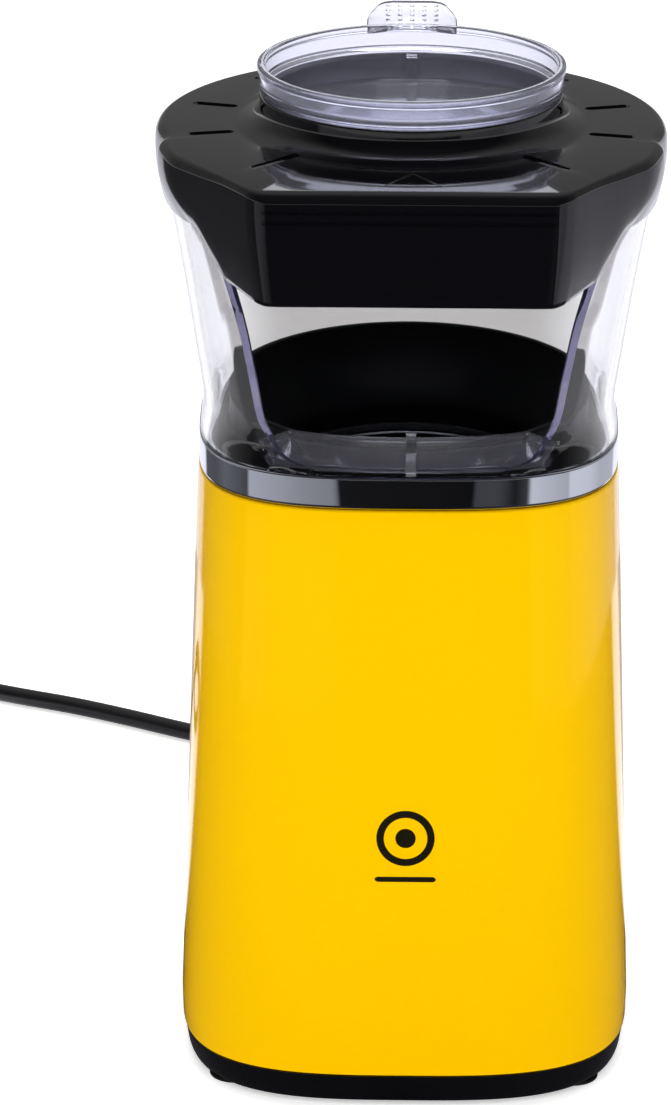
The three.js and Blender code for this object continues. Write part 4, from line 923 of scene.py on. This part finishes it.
# --- Base with its air inlet, feet and screws ---
class BASE_OT_popcorn(bpy.types.Operator):
    """Adds the black base with its air slots, the rubber feet and the screws"""

    bl_idname = "popcorn.base"
    bl_label = "Base"

    def execute(self, context):
        n = SQUARENESS
        low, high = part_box("base_plate")
        bottom, half = low.z / MM, (high.x - low.x) / 2 / MM
        lip_top = high.z / MM
        floor_top, band_top = bottom + 2.5, HOUSING_BOTTOM - 0.3
        lip = HOUSING_HALF - HOUSING_WALL - 0.3
        profile = [
            (0, bottom), (30, bottom, 0, 2.4), (half - 2.4, bottom, 1.1, n), (half - 1.1, bottom + 2.2, 1.2, n),
            (half, band_top, 0.7, n), (lip, band_top, 0.3, n), (lip, lip_top, 0.5, n),
            (lip - 2.6, lip_top, 0.5, n), (lip - 2.6, floor_top, 0.8, n), (30, floor_top, 0, 2.4), (0, floor_top),
        ]
        plate = mesh_piece("base_tray", turned(profile, 192), finish_of("black ABS"))
        values = {
            "Slots": context.scene.popcorn_sizes.air_slots, "Inlet Radius": 28.4 * MM, "Slot Width": 3 * MM,
            "Depth": 8 * MM, "Material": finish_of("black ABS"),
        }
        bars = grown(points_piece("bars", []), air_slots_tree(), values)
        bars.data.transform(Matrix.Translation((0, AXIS_Y, floor_top * MM)))
        combined(plate, bars, "DIFFERENCE")

        screws = [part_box(f"base_screw_{k}") for k in (
            1, 2, 3, 4,
        )] + [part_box(f"blower_screw_{k}") for k in (1, 2, 3)]
        middles = [((a + b) / 2 / MM - Vector((0, AXIS_Y / MM, 0))) for a, b in screws]
        where = [(m.x, m.y, bottom) for m in middles]
        recess = mesh_piece(
            "recess", turned([(0, -1), (3.1, -1), (3.1, 1.6), (1.7, 1.6), (1.7, 5), (0, 5)], 32), None,
            about_axis=False,
        )
        combined(plate, copies("recesses", recess, where, [(0, 0, 0)] * 7, finish_of("black ABS")), "DIFFERENCE")
        place(plate, "base", "black_gloss", "base_plate")

        foot = mesh_piece(
            "foot",
            turned([(0, 0.35), (4.6, 0.35), (5.2, 0, 0.3), (7.4, 0, 0.5), (8, 0.6, 0.4), (8, 1.3), (0, 1.3)], 48),
            None, about_axis=False,
        )
        spots = [(sx * 50.5, sy * 41.0, 0) for sx in (-1, 1) for sy in (-1, 1)]
        feet = copies("rubber_feet", foot, spots, [(0, 0, 0)] * 4, finish_of("rubber"))
        place(feet, "base", "rubber", "foot_1", "foot_2", "foot_3", "foot_4")

        turns = [(0, 0, math.radians(37 * k)) for k in range(7)]
        names = [f"base_screw_{k}" for k in (1, 2, 3, 4)] + [f"blower_screw_{k}" for k in (1, 2, 3)]
        screw = cross_screw(11.5)
        place(copies("tapping_screws", screw, where, turns, finish_of("steel")), "base", "steel", *names)
        return {"FINISHED"}


def cross_screw(length):
    """A tapping screw with its cross-recessed head at the origin and its thread up."""
    profile = [(0, 0), (2.2, 0, 0.3), (2.8, 0.5, 0.3), (2.8, 1.3, 0.1), (1.15, 1.3, 0.1)]
    for k in range(int((length - 3) / 1.0)):
        profile += [(1.15, 1.9 + k), (1.4, 2.25 + k), (1.15, 2.6 + k)]
    profile += [(0.3, length), (0, length)]
    screw = mesh_piece("screw", turned(profile, 24, 2), None, about_axis=False)
    for long, wide in ((3.0, 0.6), (0.6, 3.0)):
        outline = rectangle(-long / 2, long / 2, -wide / 2, wide / 2)
        combined(screw, mesh_piece("cross", prism(outline, -0.5, 0.8), None, about_axis=False), "DIFFERENCE")
    return screw


# --- Funnel, gasket and popping chamber ---
class CHAMBER_OT_popcorn(bpy.types.Operator):
    """Adds the black funnel, the gasket and the popping chamber with its louvres"""

    bl_idname = "popcorn.chamber"
    bl_label = "Funnel and chamber"

    def execute(self, context):
        n = SQUARENESS
        deck = TRIM_HALF - 3.8
        mouth_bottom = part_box("funnel")[0].z / MM
        rim_top = TRIM_TOP + 12.2
        profile = [
            (deck, TRIM_BOTTOM, 0.3, n), (deck, TRIM_TOP - 0.4, 0.7, n), (55.6, TRIM_TOP - 0.4, 0.6),
            (54.9, TRIM_TOP + 0.6, 0.6), (54.9, rim_top, 1.0), (52.4, rim_top, 1.0), (49.8, rim_top - 7, 8.0),
            (38.8, mouth_bottom + 9.6, 3.0), (36.2, mouth_bottom + 6.4, 2.0), (36.1, mouth_bottom, 0.4),
            (41.3, mouth_bottom, 0.3), (41.3, mouth_bottom + 2, 0.3), (38.9, mouth_bottom + 2, 0.5),
            (49.9, rim_top - 10, 2.0), (52.7, rim_top - 10, 0.5), (52.7, TRIM_TOP - 2.6, 0.3),
            (deck - 2.2, TRIM_TOP - 2.6, 0.4, n), (deck - 2.2, TRIM_BOTTOM, 0.3, n),
        ]
        vertices, faces = turned(profile, 192, steps=8)
        slope = math.tan(math.atan2(5.0, 109.8))
        foot = TRIM_TOP + 2
        tilted = []
        for x, y, z in vertices:
            if z > foot:
                z = foot + (z - foot) * (rim_top - 2.5 + y * slope - foot) / (rim_top - foot)
            tilted.append((x, y, z))
        funnel = mesh_piece("funnel_bowl", (tilted, faces), finish_of("satin PP"))
        place(funnel, "base", "black_satin", "funnel")

        low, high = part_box("chamber_gasket")
        bottom, top, outer = low.z / MM, high.z / MM, (high.x - low.x) / 2 / MM
        ring = [(outer, bottom, 0.5), (outer, top, 0.5), (35.7, top, 0.5), (35.7, bottom, 0.5)]
        gasket = mesh_piece("gasket_ring", turned(ring, 128), finish_of("silicone"))
        place(gasket, "base", "silicone", "chamber_gasket")

        low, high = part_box("popping_chamber")
        bottom, top = low.z / MM, high.z / MM
        cup = [
            (0, bottom), (30.3, bottom + 1, 3), (36.3, bottom + 7, 3), (36.3, top - 1, 0.4), (40.3, top - 1, 0.3),
            (40.3, top, 0.3), (35.3, top, 0.6), (35.3, bottom + 7.4, 3), (29.9, bottom + 2, 3), (0, bottom + 1),
        ]
        chamber = mesh_piece("chamber_cup", turned(cup, 128), finish_of("anodised"))
        chamber.data.materials.append(finish_of("aluminium"))
        for face in chamber.data.polygons:
            face.material_index = int(face.center.z > (top - 1.6) * MM)
        vertices, faces = prism(rectangle(-3.5, 3.5, -0.8, 0.8), -5, 5)
        leaning = [(x, y + z * LOUVRE_SLOPE, z) for x, y, z in vertices]
        blade = mesh_piece("blade", (leaning, faces), None, about_axis=False)
        count = LOUVRES
        spin = [2 * math.pi * k / count for k in range(count)]
        where = [(35.8 * math.cos(a), 35.8 * math.sin(a), bottom + 14) for a in spin]
        louvres = copies("louvres", blade, where, [(0, 0, a) for a in spin], finish_of("anodised"))
        combined(chamber, louvres, "DIFFERENCE")
        place(chamber, "base", "aluminium", "popping_chamber")
        return {"FINISHED"}


# --- Clear hood with its outlet ---
HOOD_HALVES = [
    (196.6, 61.9), (198, 61.7), (202, 61.15), (205.4, 60.95), (209, 61.2), (213, 61.85), (220.4, 63.1),
    (227.8, 64.35), (235.3, 65.6), (242.7, 66.9), (250, 68.3), (257.4, 69.7), (261.5, 70.5), (266, 71.0),
    (283.8, 71.2),
]
OUTLET_EDGE = [
    (205.7, 41.0), (210.4, 43.8), (223.8, 46.6), (237.9, 49.7), (251.9, 54.2), (259, 57.0), (265, 60.2),
    (270, 64.4), (283.8, 64.4),
]


def between(table, at):
    """Smooth value from a table of (place, value) pairs."""
    k = max(i for i in range(len(table) - 1) if i == 0 or table[i][0] <= at)
    (x0, y0), (x1, y1) = table[k], table[k + 1]
    slope0 = (y1 - table[k - 1][1]) / (x1 - table[k - 1][0]) if k else (y1 - y0) / (x1 - x0)
    slope1 = (table[k + 2][1] - y0) / (table[k + 2][0] - x0) if k + 2 < len(table) else (y1 - y0) / (x1 - x0)
    t = min(1.0, max(0.0, (at - x0) / (x1 - x0)))
    h = x1 - x0
    return (
        (2 * t**3 - 3 * t**2 + 1) * y0
        + (t**3 - 2 * t**2 + t) * h * slope0
        + (3 * t**2 - 2 * t**3) * y1
        + (t**3 - t**2) * h * slope1
    )


def hood_squareness(z):
    """The hood goes from a rounded square at the trim ring to a circle under the cover."""
    return SQUARENESS + (2 - SQUARENESS) * min(1.0, max(0.0, (z - HOOD_BOTTOM) / 65.4))


def hood_point(angle, z, inset=0.0):
    """A point of the hood's outside, moved in by the inset."""
    n = hood_squareness(z)
    c, s = math.cos(angle), math.sin(angle)
    push = (between(HOOD_HALVES, z) - inset) * (abs(c) ** n + abs(s) ** n) ** (-1 / n)
    return (c * push, s * push, z)


def edge_angle(x, z):
    """Angle, from -Y towards +X, at which the hood's outside reaches a half-width."""
    n, half = hood_squareness(z), between(HOOD_HALVES, z)
    y = half * (1 - (x / half) ** n) ** (1 / n)
    return math.atan2(x, y)


class HOOD_OT_popcorn(bpy.types.Operator):
    """Adds the clear hood with its thickened outlet edge, its ramp and its rib"""

    bl_idname = "popcorn.hood"
    bl_label = "Hood"

    def execute(self, context):
        hood = self.shell()
        combined(hood, self.ramp(), "UNION", 40)
        rib = [
            (-62.2, 197.0), (-61.4, 199.6), (-56.0, 206.8), (-53.6, 207.6), (-52.0, 206.4), (-52.2, 204.2),
            (-58.6, 196.9),
        ]
        vertices, faces = prism(rib, -0.8, 2.2)
        combined(
            hood, mesh_piece("rib", ([(z, x, y) for x, y, z in vertices], faces), finish_of("frosted SAN")),
            "UNION", 40,
        )
        place(hood, "hood", "clear_plastic", "hood")
        return {"FINISHED"}

    def shell(self):
        """The wall as one sheet, thickened, with more thickness along the outlet's edge."""
        across, front = 150, 40
        corner = [(30, 199.0), (36, 199.0), (39, 202.0), (41, 205.7)]
        edge = []
        for k in range(9):
            t = k / 8
            weights = ((1 - t) ** 3, 3 * t * (1 - t) ** 2, 3 * t * t * (1 - t), t**3)
            edge.append(tuple(sum(w * p[i] for w, p in zip(weights, corner)) for i in (0, 1)))
        z = 208.0
        while z < HOOD_TOP:
            edge.append((between(OUTLET_EDGE, z), z))
            z += 2.6
        edge.append((64.4, HOOD_TOP))
        shares = [0, 0.006, 0.014, 0.022, 0.03]
        shares += [0.03 + 0.94 * k / (across - 9) for k in range(1, across - 9)] + [1 - s for s in reversed(shares)]
        sheet = []
        for x, z in edge:
            open_angle = edge_angle(x, z)
            ring = [hood_point(-math.pi / 2 + open_angle + s * (2 * math.pi - 2 * open_angle), z) for s in shares]
            sheet.append(ring)
        sill = edge_angle(30, 199.0)
        band = []
        for z in (HOOD_BOTTOM, HOOD_BOTTOM + 0.8, HOOD_BOTTOM + 1.6):
            ring = [hood_point(-math.pi / 2 + sill + s * (2 * math.pi - 2 * sill), z) for s in shares]
            band.append(ring)
        vertices, faces = skin(band + sheet, closed_rings=False)
        count = len(shares)
        rows = len(band) + 1
        gap = []
        for row in range(rows):
            z = (band + sheet)[row][0][2]
            start = len(vertices)
            vertices += [hood_point(-math.pi / 2 - sill + 2 * sill * k / front, z) for k in range(1, front)]
            gap.append([row * count + count - 1] + list(range(start, start + front - 1)) + [row * count])
        for a, b in zip(gap, gap[1:]):
            faces += [(a[k], a[k + 1], b[k + 1], b[k]) for k in range(front)]
        # The hood SAN finish greys towards the back: painted shade for the shadow under the cover.
        hood = mesh_piece("hood_shell", (vertices, faces), finish_of("hood SAN"))
        hood.data.materials.append(finish_of("SAN edge"))
        rim = hood.vertex_groups.new(name="rim")
        for vertex in hood.data.vertices:
            x, y, z = (c / MM for c in vertex.co)
            y -= AXIS_Y / MM
            near = 9.0
            if y < 0 and z > 196:
                near = min(abs(math.hypot(abs(x) - ex, (z - ez) * 0.75)) for ex, ez in edge if abs(ez - z) < 9)
            rim.add([vertex.index], 1.0 if near < 3.0 else 0.62, "REPLACE")
        thick = hood.modifiers.new("Wall", "SOLIDIFY")
        thick.thickness = HOOD_WALL * MM
        thick.offset = -1
        thick.use_even_offset = True
        thick.vertex_group = "rim"
        thick.material_offset_rim = 1
        return settled(hood, 40)

    def ramp(self):
        """The lip behind the sill, with a rounded bead along its top."""
        rows, columns = 9, 72
        rings = []
        for row in range(rows):
            t = row / (rows - 1)
            ring = []
            for k in range(columns + 1):
                x = (-44.0 + 88.0 * k / columns) * (0.93 + 0.07 * t)
                side = min(1.0, max(0.0, (abs(x) - 33.0) / 10.0))
                side = side * side * (3 - 2 * side)
                foot = 60.6 * (1 - abs(x / 60.6) ** SQUARENESS) ** (1 / SQUARENESS)
                head = math.sqrt(53.2**2 - x * x) * (1 - side) + (foot - 1.4) * side
                rise = 8.4 - 3.0 * (x / 40.4) ** 2 + 2.6 * side
                ring.append((x, -(foot + (head - foot) * t**0.9), 197.6 + rise * t**1.3))
            rings.append(ring)
        ramp = mesh_piece("ramp", skin(rings, closed_rings=False), finish_of("frosted SAN"))
        weights = ramp.vertex_groups.new(name="bead")
        for vertex in ramp.data.vertices:
            weights.add([vertex.index], 1.0 if vertex.index >= (rows - 2) * (columns + 1) else 0.55, "REPLACE")
        thick = ramp.modifiers.new("Wall", "SOLIDIFY")
        thick.thickness = RAMP_WALL * MM
        thick.offset = 0
        thick.vertex_group = "bead"
        settled(ramp, 60)
        round_off = ramp.modifiers.new("Round", "SUBSURF")
        round_off.levels = round_off.render_levels = 1
        return settled(ramp, 60)


# --- Cover with its nose, vents and cup seat ---
# Stations from the back to the front, right half: top edge, widest place and lower edge.
COVER_STATIONS = [
    ((70.9, -22.0), (74.3, -23.2, 274), (69.0, -23.6, 264.8)),
    ((69.6, -31.0), (72.8, -32.4, 274), (65.8, -32.2, 264.8)),
    ((67.2, -39.0), (70.0, -40.4, 273), (62.0, -39.0, 264.6)),
    ((63.6, -45.2), (66.0, -46.6, 271), (58.6, -43.2, 261.2)),
    ((59.6, -51.8), (61.6, -52.9, 268), (55.4, -47.6, 255.2)),
    ((56.6, -56.6), (58.2, -57.6, 268), (53.4, -52.2, 252.9)),
    ((53.4, -61.8), (54.8, -62.6, 268), (50.8, -58.4, 252.9)),
    ((47.6, -71.2), (48.9, -72.2, 268), (45.6, -71.0, 252.9)),
    ((45.6, -73.8), (46.4, -75.6, 268), (44.0, -74.9, 252.9)),
    ((42.9, -75.0), (42.6, -78.6, 268), (41.2, -78.3, 252.9)),
    ((40.6, -75.0), (40.4, -79.0, 268), (39.4, -78.7, 252.9)),
    ((20.0, -75.0), (20.0, -79.0, 268), (19.6, -78.7, 252.9)),
    ((0.0, -75.0), (0.0, -79.0, 268), (0.0, -78.7, 252.9)),
]


def cover_stations():
    """The whole way round: the round back by rule, the front by its stations."""
    right = []
    for k in range(9):
        a = math.radians(90 - 13.2 * k)
        c, s = math.cos(a), math.sin(a)
        right.append(((72.3 * c, 72.3 * s), (75.7 * c, 75.7 * s, 274), (72.9 * c, 72.9 * s, 264.8)))
    right += COVER_STATIONS
    left = [tuple((-p[0], *p[1:]) for p in station) for station in reversed(right[1:-1])]
    return right + left


def spline_round(points, per_span):
    """A closed smooth line through points, with a fixed number of places in each span."""
    count = len(points)
    out = []
    for i in range(count):
        p = [Vector(points[(i + k) % count]) for k in (-1, 0, 1, 2)]
        gaps = [max(1e-6, (b - a).length) ** 0.5 for a, b in zip(p, p[1:])]
        m1 = (p[2] - p[1]) + gaps[1] * ((p[1] - p[0]) / gaps[0] - (p[2] - p[0]) / (gaps[0] + gaps[1]))
        m2 = (p[2] - p[1]) + gaps[1] * ((p[3] - p[2]) / gaps[2] - (p[3] - p[1]) / (gaps[1] + gaps[2]))
        for k in range(per_span):
            t = k / per_span
            out.append(
                p[1] * (2 * t**3 - 3 * t**2 + 1)
                + m1 * (t**3 - 2 * t**2 + t)
                + p[2] * (3 * t**2 - 2 * t**3)
                + m2 * (t**3 - t**2)
            )
    return out


class COVER_OT_popcorn(bpy.types.Operator):
    """Adds the black cover with its nose, its vents, the raised seat and a plain triangle outline"""

    bl_idname = "popcorn.cover"
    bl_label = "Cover"

    def execute(self, context):
        stations = cover_stations()
        per_span = 6
        top = spline_round([(x, y, COVER_TOP) for (x, y), _, _ in stations], per_span)
        wide = spline_round([w for _, w, _ in stations], per_span)
        lower = spline_round([b for _, _, b in stations], per_span)
        count = len(top)

        def ring(mix):
            return [tuple(mix(t, w, b)) for t, w, b in zip(top, wide, lower)]

        def shoulder(t, w, b, share):
            # A quarter round from the flat top over the shoulder to the widest place.
            a = share * math.pi / 2
            out = t.lerp(w, math.sin(a))
            z = COVER_KNEE + (COVER_TOP - COVER_KNEE) * math.cos(a)
            return Vector((t.x + (out.x - t.x) * 0.86, t.y + (out.y - t.y) * 0.86, z))

        def flank(t, w, b, share):
            knee = shoulder(t, w, b, 1)
            a, c = (1 - share) ** 2, share**2
            return knee * a + w * (2 * share * (1 - share)) + b * c if share < 1 else b.copy()

        def groove(z, depth):
            def mix(t, w, b):
                share = (COVER_KNEE - z) / (COVER_KNEE - b.z)
                p = flank(t, w, b, share)
                if p.y < -77.5 and abs(p.x) < 42.2:
                    p.y += depth
                return p
            return mix

        rings = [ring(lambda t, w, b, s=s: shoulder(t, w, b, s)) for s in (0, 0.12, 0.25, 0.4, 0.55, 0.7, 0.85, 1)]
        rings += [ring(groove(z, d)) for z, d in (
            (281.4, 0), (281.2, 0.5), (280.5, 0.5), (280.3, 0), (278.3, 0), (278.1, 0.5), (277.4, 0.5), (277.2, 0),
        )]
        shares = (0.28, 0.36, 0.45, 0.55, 0.65, 0.75, 0.85, 0.94, 0.985)
        rings += [ring(lambda t, w, b, s=s: flank(t, w, b, s)) for s in shares]
        rings.append(ring(lambda t, w, b: Vector((b.x * 0.996, b.y * 0.996, b.z))))
        wall = 2.5

        def inner(mix, drop=0.0):
            def moved(t, w, b):
                p = mix(t, w, b)
                flat = Vector((p.x, p.y, 0))
                reach = max(1e-6, flat.length)
                grow = wall / reach * (1.25 if p.y < -50 else 1.0)
                return Vector((p.x * (1 - grow), p.y * (1 - grow), p.z + drop))
            return moved

        rings.append(ring(inner(lambda t, w, b: b)))
        rings += [ring(inner(lambda t, w, b, s=s: flank(t, w, b, s))) for s in (0.9, 0.7, 0.5, 0.3, 0.15)]
        ceiling = COVER_TOP - wall
        rings.append(ring(inner(lambda t, w, b: Vector((t.x * 1.01, t.y * 1.01, ceiling)))))
        seat_inner, seat_outer, seat_top = 43.0, 44.4, COVER_TOP + 9.0
        under = [(53.0, ceiling), (50.4, ceiling, 0.5), (45.4, ceiling - 2, 0.5), (38.0, ceiling - 2, 0.4)]
        over = [
            (38.0, COVER_TOP - 0.6, 0.4), (seat_inner, COVER_TOP - 0.6, 0.5), (seat_inner, seat_top, 0.4),
            (seat_outer, seat_top, 0.5), (seat_outer + 0.3, COVER_TOP + 4.2, 2.5),
            (seat_outer + 2.2, COVER_TOP + 1.5, 2.0), (seat_outer + 6.6, COVER_TOP, 2.4), (53.6, COVER_TOP),
        ]
        circles = filleted(under + over, closed=False, steps=6)
        for radius, z, _, _ in circles:
            around = []
            for t in top:
                a = math.atan2(t.y, t.x)
                around.append((radius * math.cos(a), radius * math.sin(a), z))
            rings.append(around)
        vertices, faces = skin(rings, wrap=True)
        cover = mesh_piece("cover_shell", (vertices, faces), finish_of("black ABS"), 38)
        self.cut_vents(cover, context.scene.popcorn_sizes.vent_width / MM)
        place(cover, "hood", "black_gloss", "cover")
        self.outline_mark()
        return {"FINISHED"}

    def cut_vents(self, cover, width):
        """Eight radial slots through the flat top."""
        for near, far, bases in ((53.5, 67.2, (-14, 16, 46)), (50.0, 69.5, (-49,))):
            half = (far - near - width) / 2
            bar = mesh_piece("bar", prism(stadium(half, width / 2), -8, 8), None, about_axis=False)
            angles = [math.radians(a) for base in bases for a in (base, 180 - base)]
            middle = (near + far) / 2
            where = [(middle * math.cos(a), middle * math.sin(a), COVER_TOP) for a in angles]
            vents = copies("vents", bar, where, [(0, 0, a) for a in angles], finish_of("black ABS"))
            combined(cover, vents, "DIFFERENCE", 38)

    def outline_mark(self):
        """A plain triangle outline in dark ink on the top, in front of the seat."""
        corners = [(0.6, -56.8), (9.3, -70.5), (-8.1, -70.5)]
        middle = (sum(c[0] for c in corners) / 3, sum(c[1] for c in corners) / 3)
        rings = []
        for scale, z in ((1.0, 0.02), (0.88, 0.02), (0.88, 0.05), (1.0, 0.05)):
            rings.append([(middle[0] + (x - middle[0]) * scale, middle[1] + (y - middle[1]) * scale, COVER_TOP + z)
                          for x, y in corners])
        mark = mesh_piece("triangle_outline", skin(rings, wrap=True), finish_of("ink"))
        place(mark, "hood", "black_gloss")


# --- Measuring cup ---
class CUP_OT_popcorn(bpy.types.Operator):
    """Adds the clear measuring cup with its stepped rim and its handle with grip dots"""

    bl_idname = "popcorn.cup"
    bl_label = "Measuring cup"

    def execute(self, context):
        sizes = context.scene.popcorn_sizes
        rim = sizes.cup_rim_radius / MM
        low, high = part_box("measuring_cup")
        bottom = low.z / MM
        top = bottom + 18.1
        body = rim - 2.8
        profile = [
            (0, bottom), (body - 1.2, bottom, 1.2), (body, bottom + 1.8, 1.0), (body, top - 8.2, 0.8),
            (rim - 0.6, top - 7.4, 0.6), (rim - 0.6, top - 2.4, 0.3), (rim, top - 1.9, 0.5), (rim, top, 0.8),
            (rim - 2.4, top, 0.8), (rim - 2.4, top - 6.0, 0.8), (body - 1.6, top - 8.6, 0.8),
            (body - 1.6, bottom + 1.7, 1.4), (0, bottom + 1.7),
        ]
        cup = mesh_piece("cup_bowl", turned(profile, 192, steps=5), finish_of("clear SAN"), 40)
        cup.data.materials.append(finish_of("frosted SAN"))
        for face in cup.data.polygons:
            across = math.hypot(face.center.x, face.center.y - AXIS_Y)
            face.material_index = int(across < (body - 3.5) * MM and face.center.z < (bottom + 1.8) * MM)
        combined(cup, self.handle(top, rim), "UNION", 40)
        ledge = rectangle(-1.6, 1.6, 36.5, 41.6)
        combined(cup, mesh_piece("rib", prism(ledge, bottom + 1.2, top - 8.5), None), "UNION", 40)
        values = {
            "Columns": sizes.grip_columns, "Rows": sizes.grip_rows, "Width": 14.4 * MM, "Length": 8.4 * MM,
            "Dot Radius": 0.75 * MM, "Material": finish_of("clear SAN"),
        }
        dots = grown(points_piece("dots", []), grip_dots_tree(), values)
        tilt = Matrix.Rotation(HANDLE_SLOPE, 4, "X")
        dots.data.transform(Matrix.Translation((0, AXIS_Y + 51.2 * MM, (top + 1.55) * MM)) @ tilt)
        combined(cup, dots, "UNION", 40)
        place(cup, "cup", "clear_plastic", "measuring_cup")
        return {"FINISHED"}

    def handle(self, top, rim):
        """A tapering tab that slopes up behind the rim."""
        plan = [(13.6, rim - 2.2), (13.4, rim + 3), (12.4, rim + 6.5), (11.2, rim + 9), (10.3, rim + 11.0),
                (8.6, rim + 12.4), (6.0, rim + 13.0)]
        plan += [(-x, y) for x, y in reversed(plan)]
        rings = []
        for lift, scale in ((-1.0, 0.97), (-0.7, 1.0), (0.6, 1.0), (0.9, 0.97)):
            ring = []
            for x, y in plan:
                out = y - rim
                height = top - 1.0 + lift + out * math.tan(HANDLE_SLOPE)
                ring.append((x * scale, rim + out * (scale if out > 0 else 1), height))
            rings.append(ring)
        middle = [sum(p[i] for p in rings[0]) / len(plan) for i in range(3)]
        ends = [[(0, middle[1], middle[2])], [(0, middle[1], middle[2] + 1.9)]]
        vertices, faces = skin([ends[0]] + rings + [ends[1]])
        return mesh_piece("handle", (vertices, faces), finish_of("clear SAN"), 40)


# --- Switch and the parts inside ---
class SWITCH_OT_popcorn(bpy.types.Operator):
    """Adds the switch's bezel and its rocker"""

    bl_idname = "popcorn.switch"
    bl_label = "Switch"

    def execute(self, context):
        low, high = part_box("switch_body")
        face, middle = high.y / MM - AXIS_Y / MM, (low.z + high.z) / 2 / MM
        bezel = self.block(21, 15, face - 2.0, face, middle, 1.6)
        body = self.block(18.6, 12.6, face - 13, face - 1.5, middle, 0.8)
        combined(bezel, body, "UNION")
        combined(bezel, self.block(14.6, 11.2, face - 6, face + 6, middle, 0.6), "DIFFERENCE")
        bezel.name = "switch_bezel"
        bezel.data.materials.clear()
        bezel.data.materials.append(finish_of("black nylon"))
        place(bezel, "base", "black_plastic", "switch_body")

        pivot_y, pivot_z = 67.7, middle
        outline = [(-3.4, -2.6), (3.4, -2.6), (4.2, 1.2)]
        for k in range(1, 12):
            t = k / 12
            outline.append((4.2 - 8.4 * t, 1.2 * (1 - t) + 3.6 * t - 1.1 * math.sin(math.pi * t)))
        outline.append((-4.2, 3.6))
        vertices, faces = prism(outline, -7, 7)
        vertices = [(z, pivot_y + y, pivot_z - x) for x, y, z in vertices]
        rocker = mesh_piece("switch_rocker_cap", (vertices, faces), finish_of("black ABS"))
        soften = rocker.modifiers.new("Edges", "BEVEL")
        soften.width = 0.35 * MM
        soften.segments = 3
        settled(rocker)
        place(rocker, "rocker", "black_gloss", "switch_rocker")
        return {"FINISHED"}

    def block(self, wide, tall, back, front, middle, corner):
        """A rounded block standing along Y."""
        outline = []
        for sx, sz, first in ((1, 1, 0), (-1, 1, 90), (-1, -1, 180), (1, -1, 270)):
            for k in range(6):
                a = math.radians(first + 18 * k)
                outline.append(
                    (
                        sx * (wide / 2 - corner) + corner * math.cos(a),
                        sz * (tall / 2 - corner) + corner * math.sin(a),
                    )
                )
        vertices, faces = prism(outline, back, front)
        return mesh_piece("block", ([(x, z, middle + y) for x, y, z in vertices], faces), None)


INNER_FINISHES = {
    "steel": [
        "heater_duct", "motor_bracket", "motor", "motor_screw_1", "motor_screw_2", "thermostat", "board_screw_1",
        "board_screw_2", "fan_shaft",
    ],
    "black nylon": ["fan_housing"],
    "aluminium": ["fan", "thermal_fuse"],
    "mica": ["mica_frame"],
    "resistance wire": ["heating_element"],
    "circuit board": ["circuit_board"],
}


class INSIDE_OT_popcorn(bpy.types.Operator):
    """Gives the blower, the heater and the electrical parts their finishes"""

    bl_idname = "popcorn.inside"
    bl_label = "Parts inside"

    def execute(self, context):
        for finish, nodes in INNER_FINISHES.items():
            for node in nodes:
                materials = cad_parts[node].data.materials
                for k in range(len(materials)):
                    materials[k] = finish_of(finish)
        return {"FINISHED"}


# --- Panel and registration ---
STEPS = [
    STAGE_OT_popcorn, CORD_OT_popcorn, HOUSING_OT_popcorn, BASE_OT_popcorn, CHAMBER_OT_popcorn, HOOD_OT_popcorn,
    COVER_OT_popcorn, CUP_OT_popcorn, SWITCH_OT_popcorn, INSIDE_OT_popcorn,
]


class VIEW3D_PT_popcorn(bpy.types.Panel):
    """Lists the popcorn maker's sizes and its pieces"""

    bl_label = "Popcorn maker"
    bl_idname = "VIEW3D_PT_popcorn"
    bl_space_type = "VIEW_3D"
    bl_region_type = "UI"
    bl_category = "Popcorn"

    def draw(self, context):
        sizes = context.scene.popcorn_sizes
        for name in PopcornSizes.__annotations__:
            self.layout.prop(sizes, name)
        for step in STEPS:
            self.layout.operator(step.bl_idname)


def register():
    """Registers the sizes, the operators and the panel."""
    for item in (PopcornSizes, *STEPS, VIEW3D_PT_popcorn):
        bpy.utils.register_class(item)
    bpy.types.Scene.popcorn_sizes = bpy.props.PointerProperty(type=PopcornSizes)


def unregister():
    """Removes what register added."""
    del bpy.types.Scene.popcorn_sizes
    for item in (VIEW3D_PT_popcorn, *reversed(STEPS), PopcornSizes):
        bpy.utils.unregister_class(item)


def main():
    """Builds everything in order."""
    register()
    for step in STEPS:
        group, name = step.bl_idname.split(".")
        getattr(getattr(bpy.ops, group), name)()


if __name__ == "__main__":
    main()
